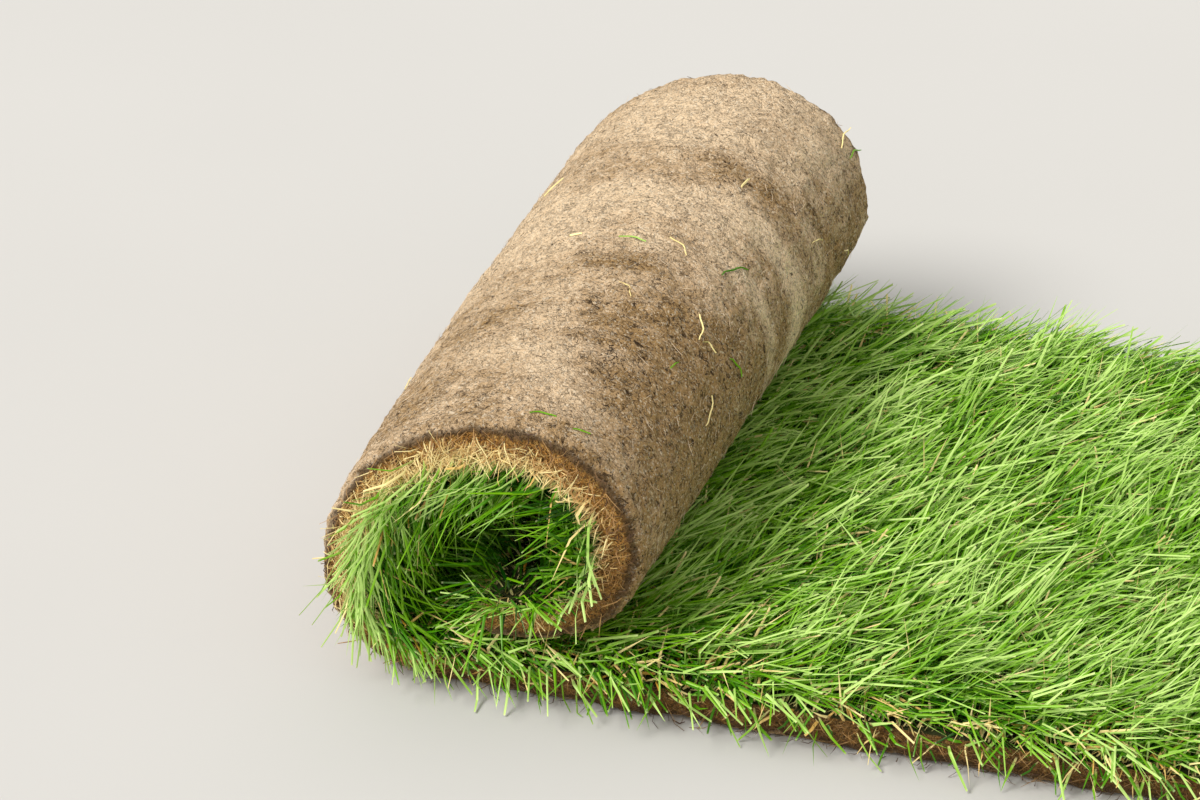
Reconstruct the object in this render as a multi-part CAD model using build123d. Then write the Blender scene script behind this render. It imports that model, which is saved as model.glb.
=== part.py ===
# Roll of turf: one cut strip of lawn, partly laid out, the rest still rolled up soil side out.
# The strip lies grass up along +X. At its left it lifts off the ground, climbs over the top
# and comes down on the right, where its inner end rests on the grass of the laid stretch.
# X runs along the laid stretch, Y along the roll, Z up. The underside lies on Z = 0.
from build123d import *

import os
from dataclasses import dataclass
from math import asin, degrees, pi

# The strip, as it was cut
STRIP_WIDTH = 400.0
STRIP_LENGTH = 1250.0
MAT_THICKNESS = 22.0
RIM_WEAR = 4.0

# The grass on it
LAID_PILE = 24.0
ROLLED_PILE = 27.0
PRESSED_PILE = 16.0
GRASS_OVERHANG = 10.0
PILE_ROUNDING = 8.0

# The roll's section at its near end: radii of the soil side, in the order that the strip runs
LIFT_RADIUS = 65.0
SHOULDER_RADIUS = 113.0
CROWN_RADIUS = 71.0
INNER_STRAIGHT = 22.0

# How the roll differs along its length from its near end
MIDDLE_WIDENING = 11.0
FAR_WIDENING = 13.0
ROLL_SKEW = 30.0
SPANS = 4

# Where two surfaces of the strip meet
SEAT = 0.3
END_SLOPE = 5.0

# An edge nearer than this to a surface lies on it
NEAR = 1.0


@dataclass(frozen=True)
class Section:
    """The roll's section across one place on its length, in that place's X and Z."""

    swell: float
    shift: float

    @property
    def lift(self):
        return LIFT_RADIUS * self.swell

    @property
    def shoulder(self):
        return SHOULDER_RADIUS * self.swell

    @property
    def crown(self):
        return CROWN_RADIUS * self.swell

    @property
    def under_end(self):
        """Height of the inner end's soil side, which lies on pressed grass."""
        return MAT_THICKNESS + PRESSED_PILE

    @property
    def tuck(self):
        """The last quarter turn takes up the height that the others leave over the pressed grass."""
        return self.side_height - self.under_end

    @property
    def side_height(self):
        return self.lift + self.shoulder - self.crown

    @property
    def left(self):
        return self.shift - (self.shoulder + self.crown) / 2

    @property
    def right(self):
        return self.left + self.shoulder + self.crown

    @property
    def lift_x(self):
        """Where the strip leaves the ground."""
        return self.left + self.lift

    @property
    def tuck_x(self):
        return self.right - self.tuck

    @property
    def inner_end(self):
        return self.tuck_x - INNER_STRAIGHT

    def rolled_length(self):
        """Length of the strip's middle layer from where it leaves the ground to its inner end."""
        middle = MAT_THICKNESS / 2
        radii = (self.lift, self.shoulder, self.crown, self.tuck)
        return pi / 2 * sum(radius - middle for radius in radii) + INNER_STRAIGHT

    def turns(self, depth):
        """The four quarter turns at a depth under the soil side, with the short inner straight."""
        end_height = self.under_end + depth
        return [
            CenterArc((self.lift_x, self.lift), self.lift - depth, 270, -90),
            CenterArc((self.left + self.shoulder, self.lift), self.shoulder - depth, 180, -90),
            CenterArc((self.right - self.crown, self.side_height), self.crown - depth, 90, -90),
            CenterArc((self.tuck_x, self.side_height), self.tuck - depth, 0, -90),
            Line((self.tuck_x, end_height), (self.inner_end, end_height)),
        ]

    def soil_side(self, laid_from):
        """The soil side from where the strip lies flat to its inner end."""
        return [Line((laid_from, 0), (self.lift_x, 0)), *self.turns(0)]

    def mat_outline(self, laid_from):
        """The soil side, the cut at the inner end, and the grass side back again."""
        top = MAT_THICKNESS
        edges = self.soil_side(laid_from)
        edges += [Line((self.inner_end, self.under_end), (self.inner_end, self.under_end + top))]
        edges += self.turns(top)
        edges += [
            Line((self.lift_x, top), (laid_from, top)),
            Line((laid_from, top), (laid_from, 0)),
        ]
        return edges

    def grass_outline(self, laid_from):
        """The pile: loose on the laid stretch and in the roll, pressed flat under the inner end."""
        root = MAT_THICKNESS
        tip = root + ROLLED_PILE
        laid_top = root + LAID_PILE
        pressed_top = self.under_end - SEAT
        flank = self.tuck + SEAT
        climb = degrees(asin((laid_top - self.side_height) / flank)) + 90
        slope_foot = self.inner_end - SEAT
        beside_roll = CenterArc((self.tuck_x, self.side_height), flank, 270, climb)
        edges = [Line((laid_from, root), (self.lift_x, root))]
        edges += self.turns(root)
        edges += [Line((self.inner_end, self.under_end + root), (self.inner_end, self.under_end + tip))]
        edges += self.turns(tip)
        edges += [
            Line((self.lift_x, tip), (slope_foot - END_SLOPE, tip)),
            Line((slope_foot - END_SLOPE, tip), (slope_foot, pressed_top)),
            Line((slope_foot, pressed_top), (self.tuck_x, pressed_top)),
            beside_roll,
            Line(beside_roll @ 1, (laid_from, laid_top)),
            Line((laid_from, laid_top), (laid_from, root)),
        ]
        return edges


def section_at(y):
    """The section at one place along the roll, whose width follows one even curve.

    Past a cut it stays that of the cut, so that nothing overhangs the cut face itself.
    """
    share = min(max(y / STRIP_WIDTH + 0.5, 0), 1)
    belly = MIDDLE_WIDENING - FAR_WIDENING / 2
    widening = FAR_WIDENING * share + 4 * belly * share * (1 - share)
    swell = (SHOULDER_RADIUS + CROWN_RADIUS + widening) / (SHOULDER_RADIUS + CROWN_RADIUS)
    return Section(swell, ROLL_SKEW * share)


def flat_from():
    """Where the laid stretch is flat and clear of the roll, whose far end reaches furthest."""
    return section_at(STRIP_WIDTH / 2).right


def cut_end():
    """Where the laid stretch ends, from what the roll leaves of the strip's length."""
    middle = section_at(0)
    return middle.lift_x + STRIP_LENGTH - middle.rolled_length()


def rolled(outline, overhang):
    """One solid through the sections at even steps along the roll, and past the cuts by an overhang."""
    half = STRIP_WIDTH / 2
    places = [STRIP_WIDTH * step / SPANS - half for step in range(SPANS + 1)]
    if overhang:
        places = [-half - overhang, *places, half + overhang]
    faces = []
    for y in places:
        edges = outline(section_at(y), flat_from())
        faces.append(Plane.XZ.offset(-y) * make_face(edges))
    return loft(faces, ruled=True)


def laid(bottom, height, overhang):
    """The flat rest of one layer, from beside the roll to the cut end."""
    start = flat_from()
    size = (cut_end() + overhang - start, STRIP_WIDTH + 2 * overhang, height)
    return Pos(start, 0, bottom) * Box(*size, align=(Align.MIN, Align.CENTER, Align.MIN))


def soil_rims(mat):
    """The edges where the mat's cuts meet its soil side: both long cuts and both ends of the strip."""
    rims = []
    for edge in mat.edges():
        middle = edge @ 0.5
        section = section_at(middle.Y)
        at_edge = Plane.XZ.offset(-middle.Y)
        soil_side = [at_edge * line for line in section.soil_side(cut_end())]
        on_soil_side = min(line.distance_to(middle) for line in soil_side) < NEAR
        along_cut = abs(abs(middle.Y) - STRIP_WIDTH / 2) < NEAR
        at_end = min(abs(middle.X - cut_end()), abs(middle.X - section.inner_end)) < NEAR
        if on_soil_side and (along_cut or at_end):
            rims.append(edge)
    return rims


def root_mat():
    """Soil, roots and thatch: one strip, with the soil crumbled off along the rims of its cuts."""
    mat = laid(0, MAT_THICKNESS, 0) + rolled(Section.mat_outline, 0)
    return chamfer(soil_rims(mat), RIM_WEAR)


def grass():
    """The pile, its laid stretch rounded off along the three open edges."""
    pile = laid(MAT_THICKNESS, LAID_PILE, GRASS_OVERHANG) + rolled(Section.grass_outline, GRASS_OVERHANG)
    laid_top = MAT_THICKNESS + LAID_PILE
    laid_edges = pile.edges().filter_by(lambda edge: (edge @ 0.5).X > flat_from() + NEAR)
    open_edges = laid_edges.filter_by(lambda edge: abs((edge @ 0.5).Z - laid_top) < NEAR)
    return fillet(open_edges, PILE_ROUNDING)


def main():
    os.makedirs("parts", exist_ok=True)
    mat = root_mat()
    pile = grass()
    box = Compound([mat, pile]).bounding_box()
    middle_x = (box.min.X + box.max.X) / 2
    centred = Pos(-middle_x, 0, 0)
    export_step(centred * mat, "parts/root_mat.step")
    export_step(centred * pile, "parts/grass.step")
    print("cut end", cut_end(), "flat from", flat_from(), "box middle", middle_x)


main()
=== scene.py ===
"""A roll of lawn turf, partly laid out: its soil, its thatch and every blade of its grass.

The strip starts at its cut end on the right, lies grass up along the ground, lifts off, climbs over the
top soil side out and comes back under to its inner end. Everything here grows on that one course.
"""
import functools
import logging
import math
from dataclasses import dataclass
from enum import Enum
from typing import Any, NamedTuple

import bmesh
import bpy
import numpy as np
from mathutils import Matrix, Vector


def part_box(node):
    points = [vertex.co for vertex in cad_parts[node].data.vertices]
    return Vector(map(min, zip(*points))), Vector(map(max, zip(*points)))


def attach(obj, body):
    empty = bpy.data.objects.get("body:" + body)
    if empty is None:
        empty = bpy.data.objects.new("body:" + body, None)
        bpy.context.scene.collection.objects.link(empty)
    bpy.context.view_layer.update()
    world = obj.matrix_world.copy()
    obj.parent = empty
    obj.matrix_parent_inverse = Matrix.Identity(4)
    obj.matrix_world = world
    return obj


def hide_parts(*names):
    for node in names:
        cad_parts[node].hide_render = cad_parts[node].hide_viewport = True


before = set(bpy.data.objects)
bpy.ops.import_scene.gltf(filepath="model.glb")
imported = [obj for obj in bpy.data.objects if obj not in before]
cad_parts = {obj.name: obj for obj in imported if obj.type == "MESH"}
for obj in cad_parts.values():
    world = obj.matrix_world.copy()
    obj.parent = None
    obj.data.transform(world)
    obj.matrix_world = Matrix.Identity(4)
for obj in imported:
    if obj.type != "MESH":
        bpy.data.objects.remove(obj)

log = logging.getLogger("turf")

Triple = tuple[float, float, float]
MM = 0.001
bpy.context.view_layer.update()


class Slot(Enum):
    """The record's material slots."""

    SOIL = "soil"
    GRASS = "grass"


# Wiring of node trees


def named(sockets: Any, name: str) -> bpy.types.NodeSocket:
    """The socket in use that has a name."""
    return next(socket for socket in sockets if socket.name == name and socket.enabled)


class Term:
    """One value in a node tree, which the usual signs add, take away, multiply and divide."""

    def __init__(self, graph: "Graph", socket: bpy.types.NodeSocket) -> None:
        """Holds the socket that gives the value.

        Args:
            graph: the tree's wiring.
            socket: the output that the value comes from.
        """
        self.graph = graph
        self.socket = socket

    @property
    def is_vector(self) -> bool:
        """True for a vector, false for a number."""
        return self.socket.type in ("VECTOR", "RGBA")

    def __add__(self, other: Any) -> "Term":
        """The sum of two values."""
        return self.graph.join("ADD", self, other)

    def __sub__(self, other: Any) -> "Term":
        """This value less another."""
        return self.graph.join("SUBTRACT", self, other)

    def __rsub__(self, other: Any) -> "Term":
        """Another value less this one."""
        return self.graph.join("SUBTRACT", other, self)

    def __mul__(self, other: Any) -> "Term":
        """The product, where a vector times a number is the vector scaled."""
        return self.graph.join("MULTIPLY", self, other)

    def __truediv__(self, other: Any) -> "Term":
        """This value divided by another."""
        return self.graph.join("DIVIDE", self, other)

    __radd__ = __add__
    __rmul__ = __mul__


class Graph:
    """Short calls that wire one node tree, for geometry and for materials alike."""

    def __init__(self, tree: bpy.types.NodeTree) -> None:
        """Starts with an empty tree.

        Args:
            tree: the tree to fill.
        """
        self.tree = tree
        tree.nodes.clear()

    def add(self, kind: str, inputs: dict[str, Any] | None = None, **settings: Any) -> bpy.types.Node:
        """Adds a node.

        Args:
            kind: the node's type.
            inputs: values or terms for its inputs, by name.
            settings: the node's own properties.

        Returns:
            The node.
        """
        node = self.tree.nodes.new(kind)
        for name, value in settings.items():
            setattr(node, name, value)
        for name, value in (inputs or {}).items():
            self.feed(named(node.inputs, name), value)
        return node

    def feed(self, socket: bpy.types.NodeSocket, value: Any) -> None:
        """Links a term to a socket, or sets the socket's own value.

        Args:
            socket: the input.
            value: a term or a plain value.
        """
        if isinstance(value, Term):
            self.tree.links.new(value.socket, socket)
        else:
            socket.default_value = value

    def take(self, node: bpy.types.Node, output: str | int = 0) -> Term:
        """The value that a node puts out, by the output's name or number."""
        return Term(self, node.outputs[output] if isinstance(output, int) else named(node.outputs, output))

    def join(self, operation: str, first: Any, second: Any) -> Term:
        """Works out a sum of two values, as vectors if either is one.

        Args:
            operation: ADD, SUBTRACT, MULTIPLY or DIVIDE.
            first: a term, number or vector.
            second: a term, number or vector.

        Returns:
            The result.
        """
        values = (first, second)
        vectors = [v.is_vector if isinstance(v, Term) else isinstance(v, tuple) for v in values]
        if operation == "MULTIPLY" and vectors[0] != vectors[1]:
            vector, number = values if vectors[0] else values[::-1]
            inputs = {"Vector": vector, "Scale": number}
            return self.take(self.add("ShaderNodeVectorMath", inputs, operation="SCALE"))
        return self.vector(operation, *values) if any(vectors) else self.math(operation, *values)

    def math(self, operation: str, *values: Any, clamp: bool = False) -> Term:
        """Works out a number from numbers.

        Args:
            operation: what a Math node does with them.
            values: terms or numbers.
            clamp: true to hold the result between 0 and 1.

        Returns:
            The result.
        """
        node = self.add("ShaderNodeMath", operation=operation, use_clamp=clamp)
        for socket, value in zip(node.inputs, values):
            self.feed(socket, value)
        return self.take(node)

    def vector(self, operation: str, *values: Any) -> Term:
        """Works out a vector, or a number, from vectors.

        Args:
            operation: what a Vector Math node does with them.
            values: terms or vectors.

        Returns:
            The result.
        """
        node = self.add("ShaderNodeVectorMath", operation=operation)
        for socket, value in zip(node.inputs, values):
            self.feed(socket, value)
        return Term(self, node.outputs["Value" if operation == "DOT_PRODUCT" else "Vector"])

    def split(self, vector: Term) -> tuple[Term, Term, Term]:
        """The three parts of a vector."""
        node = self.add("ShaderNodeSeparateXYZ", {"Vector": vector})
        return tuple(Term(self, socket) for socket in node.outputs)

    def merge(self, x: Any, y: Any, z: Any) -> Term:
        """A vector from its three parts."""
        return self.take(self.add("ShaderNodeCombineXYZ", {"X": x, "Y": y, "Z": z}))

    def spread(self, value: Any, low: Any, high: Any, to_low: Any = 0.0, to_high: Any = 1.0) -> Term:
        """Carries a value from one range to another, and holds it there."""
        inputs = {"Value": value, "From Min": low, "From Max": high, "To Min": to_low, "To Max": to_high}
        return self.take(self.add("ShaderNodeMapRange", inputs))


# The course of the strip


@dataclass(frozen=True)
class Place:
    """Points on the strip, with the strip's own directions there.

    Attributes:
        at: the points.
        inward: from the soil side to the grass side.
        onward: along the strip from its cut end to its inner end.
    """

    at: np.ndarray
    inward: np.ndarray
    onward: np.ndarray


@dataclass(frozen=True)
class Strip:
    """The strip's course, in metres. A leg number says how far along it a point lies.

    Leg 0 to 1 is the laid stretch from the cut end to where it lifts, 1 to 5 are the roll's four quarter
    turns, and 5 to 6 is the short straight at the inner end.
    """

    width: float = 400 * MM
    length: float = 1250 * MM
    mat: float = 22 * MM
    pressed_pile: float = 16 * MM
    lift: float = 65 * MM
    shoulder: float = 113 * MM
    crown: float = 71 * MM
    inner_straight: float = 22 * MM
    middle_widening: float = 11 * MM
    far_widening: float = 13 * MM
    skew: float = 30 * MM

    LEGS = 6

    @property
    def half(self) -> float:
        """Half the strip's width."""
        return self.width / 2

    @property
    def under_end(self) -> float:
        """Height of the inner end's soil side."""
        return self.mat + self.pressed_pile

    def radii(self, y: np.ndarray) -> tuple[np.ndarray, ...]:
        """The roll's sizes along its length.

        Args:
            y: places along the roll.

        Returns:
            The four turns' radii at each place, and how far the roll is shifted sideways there.
        """
        share = np.clip(np.asarray(y, float) / self.width + 0.5, 0, 1)
        belly = self.middle_widening - self.far_widening / 2
        widening = self.far_widening * share + 4 * belly * share * (1 - share)
        swell = 1 + widening / (self.shoulder + self.crown)
        lift, shoulder, crown = self.lift * swell, self.shoulder * swell, self.crown * swell
        tuck = lift + shoulder - crown - self.under_end
        return lift, shoulder, crown, tuck, self.skew * share

    def cut_end(self) -> float:
        """X of the cut end in the roll's own X."""
        lift, shoulder, crown, tuck, shift = self.radii(0.0)
        turned = math.pi / 2 * (lift + shoulder + crown + tuck - 4 * self.mat / 2) + self.inner_straight
        lift_x = shift - (shoulder + crown) / 2 + lift
        return float(lift_x + self.length - turned)

    def offset(self) -> float:
        """How far the roll's own X lies from the frame's."""
        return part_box("root_mat")[1].x - self.cut_end()

    def place(self, leg: np.ndarray, y: np.ndarray, depth: np.ndarray) -> Place:
        """Finds points on the strip.

        Args:
            leg: how far along the course, from 0 to 6.
            y: how far along the roll.
            depth: how far in from the soil side, across the strip's thickness.

        Returns:
            The points, in the frame's own place, and the strip's directions there.
        """
        leg, y, depth = np.broadcast_arrays(np.asarray(leg, float), y, depth)
        lift, shoulder, crown, tuck, shift = self.radii(y)
        left = shift - (shoulder + crown) / 2
        right = left + shoulder + crown
        side = lift + shoulder - crown
        turn = np.clip(np.floor(leg), 0, self.LEGS - 1).astype(int)
        part = leg - turn
        laid, *turns, end = (turn == k for k in range(self.LEGS))
        centre_x = np.select(turns, [left + lift, left + shoulder, right - crown, right - tuck], 0.0)
        centre_z = np.select(turns, [lift, lift, side, side], 0.0)
        radius = np.select(turns, [lift, shoulder, crown, tuck], 0.0)
        angle = np.radians(np.select(turns, [270, 180, 90, 0], 0) - 90 * part)
        laid_x = self.cut_end() + (left + lift - self.cut_end()) * part
        end_x = right - tuck - self.inner_straight * part
        turned_x = centre_x + (radius - depth) * np.cos(angle)
        turned_z = centre_z + (radius - depth) * np.sin(angle)
        x = np.where(laid, laid_x, np.where(end, end_x, turned_x))
        z = np.where(laid, depth, np.where(end, self.under_end + depth, turned_z))
        straight, zero = laid | end, np.zeros_like(x)
        in_x, in_z = np.where(straight, 0, -np.cos(angle)), np.where(straight, 1, -np.sin(angle))
        on_x, on_z = np.where(straight, -1, np.sin(angle)), np.where(straight, 0, -np.cos(angle))
        at = np.stack([x + self.offset(), y + zero, z], -1)
        return Place(at, np.stack([in_x, zero, in_z], -1), np.stack([on_x, zero, on_z], -1))

    def steps(self, first: float, last: float, pitch: float) -> np.ndarray:
        """Leg numbers at about an even pitch between two of them.

        Args:
            first: the first leg number.
            last: the last one.
            pitch: the distance between two steps.

        Returns:
            The leg numbers, with each whole one between the two among them.
        """
        lift, shoulder, crown, tuck, _ = (float(v) for v in self.radii(0.0))
        laid = self.cut_end() - lift + (shoulder + crown) / 2
        lengths = [laid, *(math.pi / 2 * r for r in (lift, shoulder, crown, tuck)), self.inner_straight]
        legs = [first]
        for leg in range(int(first), math.ceil(last)):
            start, end = max(leg, first), min(leg + 1, last)
            count = max(1, round((end - start) * lengths[leg] / pitch))
            legs += list(start + (end - start) * np.arange(1, count + 1) / count)
        return np.array(legs)


# Meshes


def quads(index: np.ndarray) -> np.ndarray:
    """The four-sided faces between points in rows and columns, from the points' numbers."""
    corners = [index[:-1, :-1], index[1:, :-1], index[1:, 1:], index[:-1, 1:]]
    return np.stack(corners, -1).reshape(-1, 4)


def mesh_object(name: str, points: np.ndarray, faces: Any, marks: dict[str, np.ndarray]) -> bpy.types.Object:
    """Makes an object at the origin from points and faces.

    Args:
        name: the object's name.
        points: the corners, one row each.
        faces: point numbers for each face.
        marks: values for each point, by the attribute's name, as numbers or vectors.

    Returns:
        The object, linked to the scene.
    """
    mesh = bpy.data.meshes.new(name)
    mesh.from_pydata(points.tolist(), [], faces.tolist() if isinstance(faces, np.ndarray) else faces)
    for mark, values in marks.items():
        kind, key = ("FLOAT_VECTOR", "vector") if values.ndim == 2 else ("FLOAT", "value")
        mesh.attributes.new(mark, kind, "POINT").data.foreach_set(key, values.astype(np.float32).ravel())
    obj = bpy.data.objects.new(name, mesh)
    bpy.context.scene.collection.objects.link(obj)
    return obj


def grown(seed: bpy.types.Object, tree: bpy.types.NodeTree, values: dict[str, Any],
          keep: tuple[str, ...]) -> bpy.types.Object:
    """Runs a geometry tree on an object and keeps the plain mesh that comes out.

    Args:
        seed: the object that the tree starts from, which is used up.
        tree: the geometry tree.
        values: the tree's inputs, by name.
        keep: the attributes that the materials read, all others being dropped.

    Returns:
        The same object with the finished mesh and no modifier.
    """
    modifier = seed.modifiers.new("growth", "NODES")
    modifier.node_group = tree
    for item in tree.interface.items_tree:
        if item.in_out == "INPUT" and item.name in values:
            modifier[item.identifier] = values[item.name]
    seed.update_tag()
    evaluated = seed.evaluated_get(bpy.context.evaluated_depsgraph_get())
    mesh = bpy.data.meshes.new_from_object(evaluated)
    seed.modifiers.remove(modifier)
    old = seed.data
    seed.data = mesh
    bpy.data.meshes.remove(old)
    mesh.name = seed.name
    for name in [a.name for a in mesh.attributes if not a.is_internal and not a.is_required]:
        if name not in (*keep, "sharp_edge", "sharp_face"):
            mesh.attributes.remove(mesh.attributes[name])
    while mesh.materials[0] is None:
        mesh.materials.pop(index=0)
    return seed


def triangles(obj: bpy.types.Object) -> int:
    """How many triangles an object's mesh holds."""
    obj.data.calc_loop_triangles()
    return len(obj.data.loop_triangles)


# Growth and relief


def new_tree(name: str, kind: str, sockets: dict[str, tuple[str, Any]], result: str,
             result_type: str) -> tuple[Graph, dict[str, Term]]:
    """Starts a tree or a group with named inputs and one output.

    Args:
        name: the tree's name.
        kind: the tree's type.
        sockets: each input's socket type and its default, by name.
        result: the output's name.
        result_type: the output's socket type.

    Returns:
        The wiring, and the inputs by name.
    """
    tree = bpy.data.node_groups.new(name, kind)
    graph = Graph(tree)
    for label, (socket_type, default) in sockets.items():
        socket = tree.interface.new_socket(label, in_out="INPUT", socket_type="NodeSocket" + socket_type)
        if default is not None:
            socket.default_value = default
    tree.interface.new_socket(result, in_out="OUTPUT", socket_type="NodeSocket" + result_type)
    node = graph.add("NodeGroupInput")
    return graph, {socket.name: Term(graph, socket) for socket in node.outputs if socket.name}


def new_geometry_tree(name: str, sockets: dict[str, tuple[str, Any]]) -> tuple[Graph, dict[str, Term]]:
    """Starts a geometry tree, whose first input is the geometry and whose last is the material."""
    sockets = {"Geometry": ("Geometry", None), **sockets, "Finish": ("Material", None)}
    return new_tree(name, "GeometryNodeTree", sockets, "Geometry", "Geometry")


def close_tree(graph: Graph, result: Term) -> bpy.types.NodeTree:
    """Ends a tree or a group with its output."""
    graph.feed(graph.add("NodeGroupOutput").inputs[0], result)
    return graph.tree


def dressed(graph: Graph, geometry: Term, finish: Term) -> Term:
    """Gives the whole geometry one material."""
    return graph.take(graph.add("GeometryNodeSetMaterial", {"Geometry": geometry, "Material": finish}))


def read(graph: Graph, name: str, kind: str = "FLOAT") -> Term:
    """A named attribute of the geometry."""
    node = graph.add("GeometryNodeInputNamedAttribute", {"Name": name}, data_type=kind)
    return graph.take(node, "Attribute")


def store(graph: Graph, geometry: Term, name: str, value: Term) -> Term:
    """Stores a value on each point.

    Args:
        graph: the tree's wiring.
        geometry: the points.
        name: the attribute's name.
        value: a number or a vector.

    Returns:
        The points with the value.
    """
    kind = "FLOAT_VECTOR" if value.is_vector else "FLOAT"
    inputs = {"Geometry": geometry, "Name": name, "Value": value}
    node = graph.add("GeometryNodeStoreNamedAttribute", inputs, data_type=kind, domain="POINT")
    return graph.take(node)


class BladeTree:
    """Grows one leaf or fibre on each of many random points of a seedbed.

    The seedbed's attributes say which way a blade grows, which way it is combed, how much room it has
    above it, and how long, loose, limp, dry and dense the growth is there. A blade is a closed strip of
    three sides that bends evenly from its root to its tip. Each has six random draws of its own, which
    are named chance and luck.
    """

    NUMBERS = (
        "Per square metre", "Length", "Uneven length", "Width", "Thickness", "Root lean", "Tip lean",
        "Uneven lean", "Roll", "Twist", "Curl", "Pointed share", "Dry length", "Floor", "Reach", "End",
    )
    STICK_SIDES = 3
    FLANK_ALLOWANCE, RIDGE_SHARE, SHARP_FROM = 0.3, 0.6, 0.49
    UNRULY_FROM, UNRULY_STRAY, DRY_STRAY = 0.93, 2.0, 1.5
    LATE_BEND = 1.32
    LEAST_RISE = 0.0001
    CURL_TURN, CURL_START = 7.0, 6.3
    LEAST_WIDTH, MORE_WIDTH = 0.65, 0.7
    BLUNT_TIP, POINTED_LESS = 0.66, 0.6
    ROOT_WIDTH, SWELLING = 0.6, 1.6
    LEAST_FOOT, MORE_FOOT = 0.6, 0.8

    def __init__(self) -> None:
        """Starts the tree with a named input for each size, and reads each blade's own draws."""
        sockets = {label: ("Float", 1.0) for label in self.NUMBERS}
        sockets |= {"Bends": ("Int", 2), "Seed": ("Int", 1)}
        self.graph, self.given = new_geometry_tree("blades", sockets)
        self.chance = self.graph.split(self.vector("chance"))
        self.luck = self.graph.split(self.vector("luck"))
        self.dry = self.graph.math("LESS_THAN", self.luck[2], read(self.graph, "parched"))

    def vector(self, name: str) -> Term:
        """A named vector of the geometry."""
        return read(self.graph, name, "FLOAT_VECTOR")

    def stick(self) -> Term:
        """Makes what every blade is bent from.

        Returns:
            A straight stick of length one whose points know their own place in it, with sharp edges at
            its ridge, its two flanks and its ends.
        """
        graph = self.graph
        inputs = {"Vertices": self.STICK_SIDES, "Side Segments": self.given["Bends"]}
        inputs |= {"Radius": 1.0, "Depth": 1.0}
        stick = graph.take(graph.add("GeometryNodeMeshCylinder", inputs, fill_type="NGON"))
        shape = graph.take(graph.add("GeometryNodeInputPosition"))
        stick = store(graph, stick, "shape", shape)
        x, y, z = graph.split(shape)
        flank, end = graph.math("ABSOLUTE", y) - self.FLANK_ALLOWANCE, graph.math("ABSOLUTE", z)
        keen = graph.math("MAXIMUM", graph.math("MAXIMUM", flank, end), x * self.RIDGE_SHARE)
        sharp = graph.math("GREATER_THAN", keen, self.SHARP_FROM)
        inputs = {"Geometry": stick, "Selection": sharp, "Shade Smooth": False}
        return graph.take(graph.add("GeometryNodeSetShadeSmooth", inputs, domain="EDGE"))

    def planted(self) -> Term:
        """Sets a stick on each of many random points, with each one's place and draws.

        Returns:
            The sticks, as a mesh.
        """
        graph, given = self.graph, self.given
        inputs = {"Mesh": given["Geometry"], "Seed": given["Seed"]}
        scatter = graph.add("GeometryNodeDistributePointsOnFaces", inputs)
        graph.feed(scatter.inputs["Density"], given["Per square metre"] * read(graph, "lush"))
        place = graph.take(graph.add("GeometryNodeInputPosition"))
        points = store(graph, graph.take(scatter), "root", place)
        for step, name in enumerate(("chance", "luck"), 1):
            inputs = {"Min": (0.0, 0.0, 0.0), "Max": (1.0, 1.0, 1.0), "Seed": given["Seed"] + float(step)}
            draw = graph.add("FunctionNodeRandomValue", inputs, data_type="FLOAT_VECTOR")
            points = store(graph, points, name, graph.take(draw))
        sticks = graph.add("GeometryNodeInstanceOnPoints", {"Points": points, "Instance": self.stick()})
        return graph.take(graph.add("GeometryNodeRealizeInstances", {"Geometry": graph.take(sticks)}))

    def ways(self) -> tuple[Term, Term, Term]:
        """Finds each blade's own directions.

        Returns:
            The way it grows, the way it is combed after it has strayed, and the way across the two.
        """
        graph = self.graph
        growth = graph.vector("NORMALIZE", self.vector("growth"))
        combed = self.vector("comb")
        level = graph.vector("NORMALIZE", combed - growth * graph.vector("DOT_PRODUCT", combed, growth))
        unruly = graph.math("GREATER_THAN", self.chance[2], self.UNRULY_FROM)
        unruly = unruly * self.UNRULY_STRAY + self.dry * self.DRY_STRAY + 1.0
        stray = read(graph, "stray") * (self.chance[0] + self.luck[0] - 1.0) * unruly
        sideways = graph.vector("CROSS_PRODUCT", growth, level)
        way = level * graph.math("COSINE", stray) + sideways * graph.math("SINE", stray)
        return growth, way, graph.vector("CROSS_PRODUCT", way, growth)

    def spine(self, along: Term, growth: Term, way: Term, flank: Term) -> tuple[Term, Term]:
        """Bends a blade's middle line over, and presses it down where it has no room.

        Args:
            along: how far along the blade a point lies, from 0 to 1.
            growth: the way that the blade grows.
            way: the way that it is combed.
            flank: the way across.

        Returns:
            The points on the middle line, and how far the blade leans there.
        """
        graph, given, chance, luck = self.graph, self.given, self.chance, self.luck
        uneven = (chance[1] * 2.0 - 1.0) * given["Uneven length"] + 1.0
        length = given["Length"] * read(graph, "reach") * uneven
        length = length * (1.0 - self.dry * (1.0 - given["Dry length"]))
        root_lean = given["Root lean"] + (chance[2] + luck[1] - 1.0) * given["Uneven lean"]
        bend = given["Tip lean"] - given["Root lean"]
        lean = root_lean + bend * graph.math("POWER", along, self.LATE_BEND)

        def rise(angle: Term) -> Term:
            """How far a blade of length one has risen where it leans by an angle."""
            return (graph.math("SINE", angle) - graph.math("SINE", root_lean)) / bend

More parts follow.
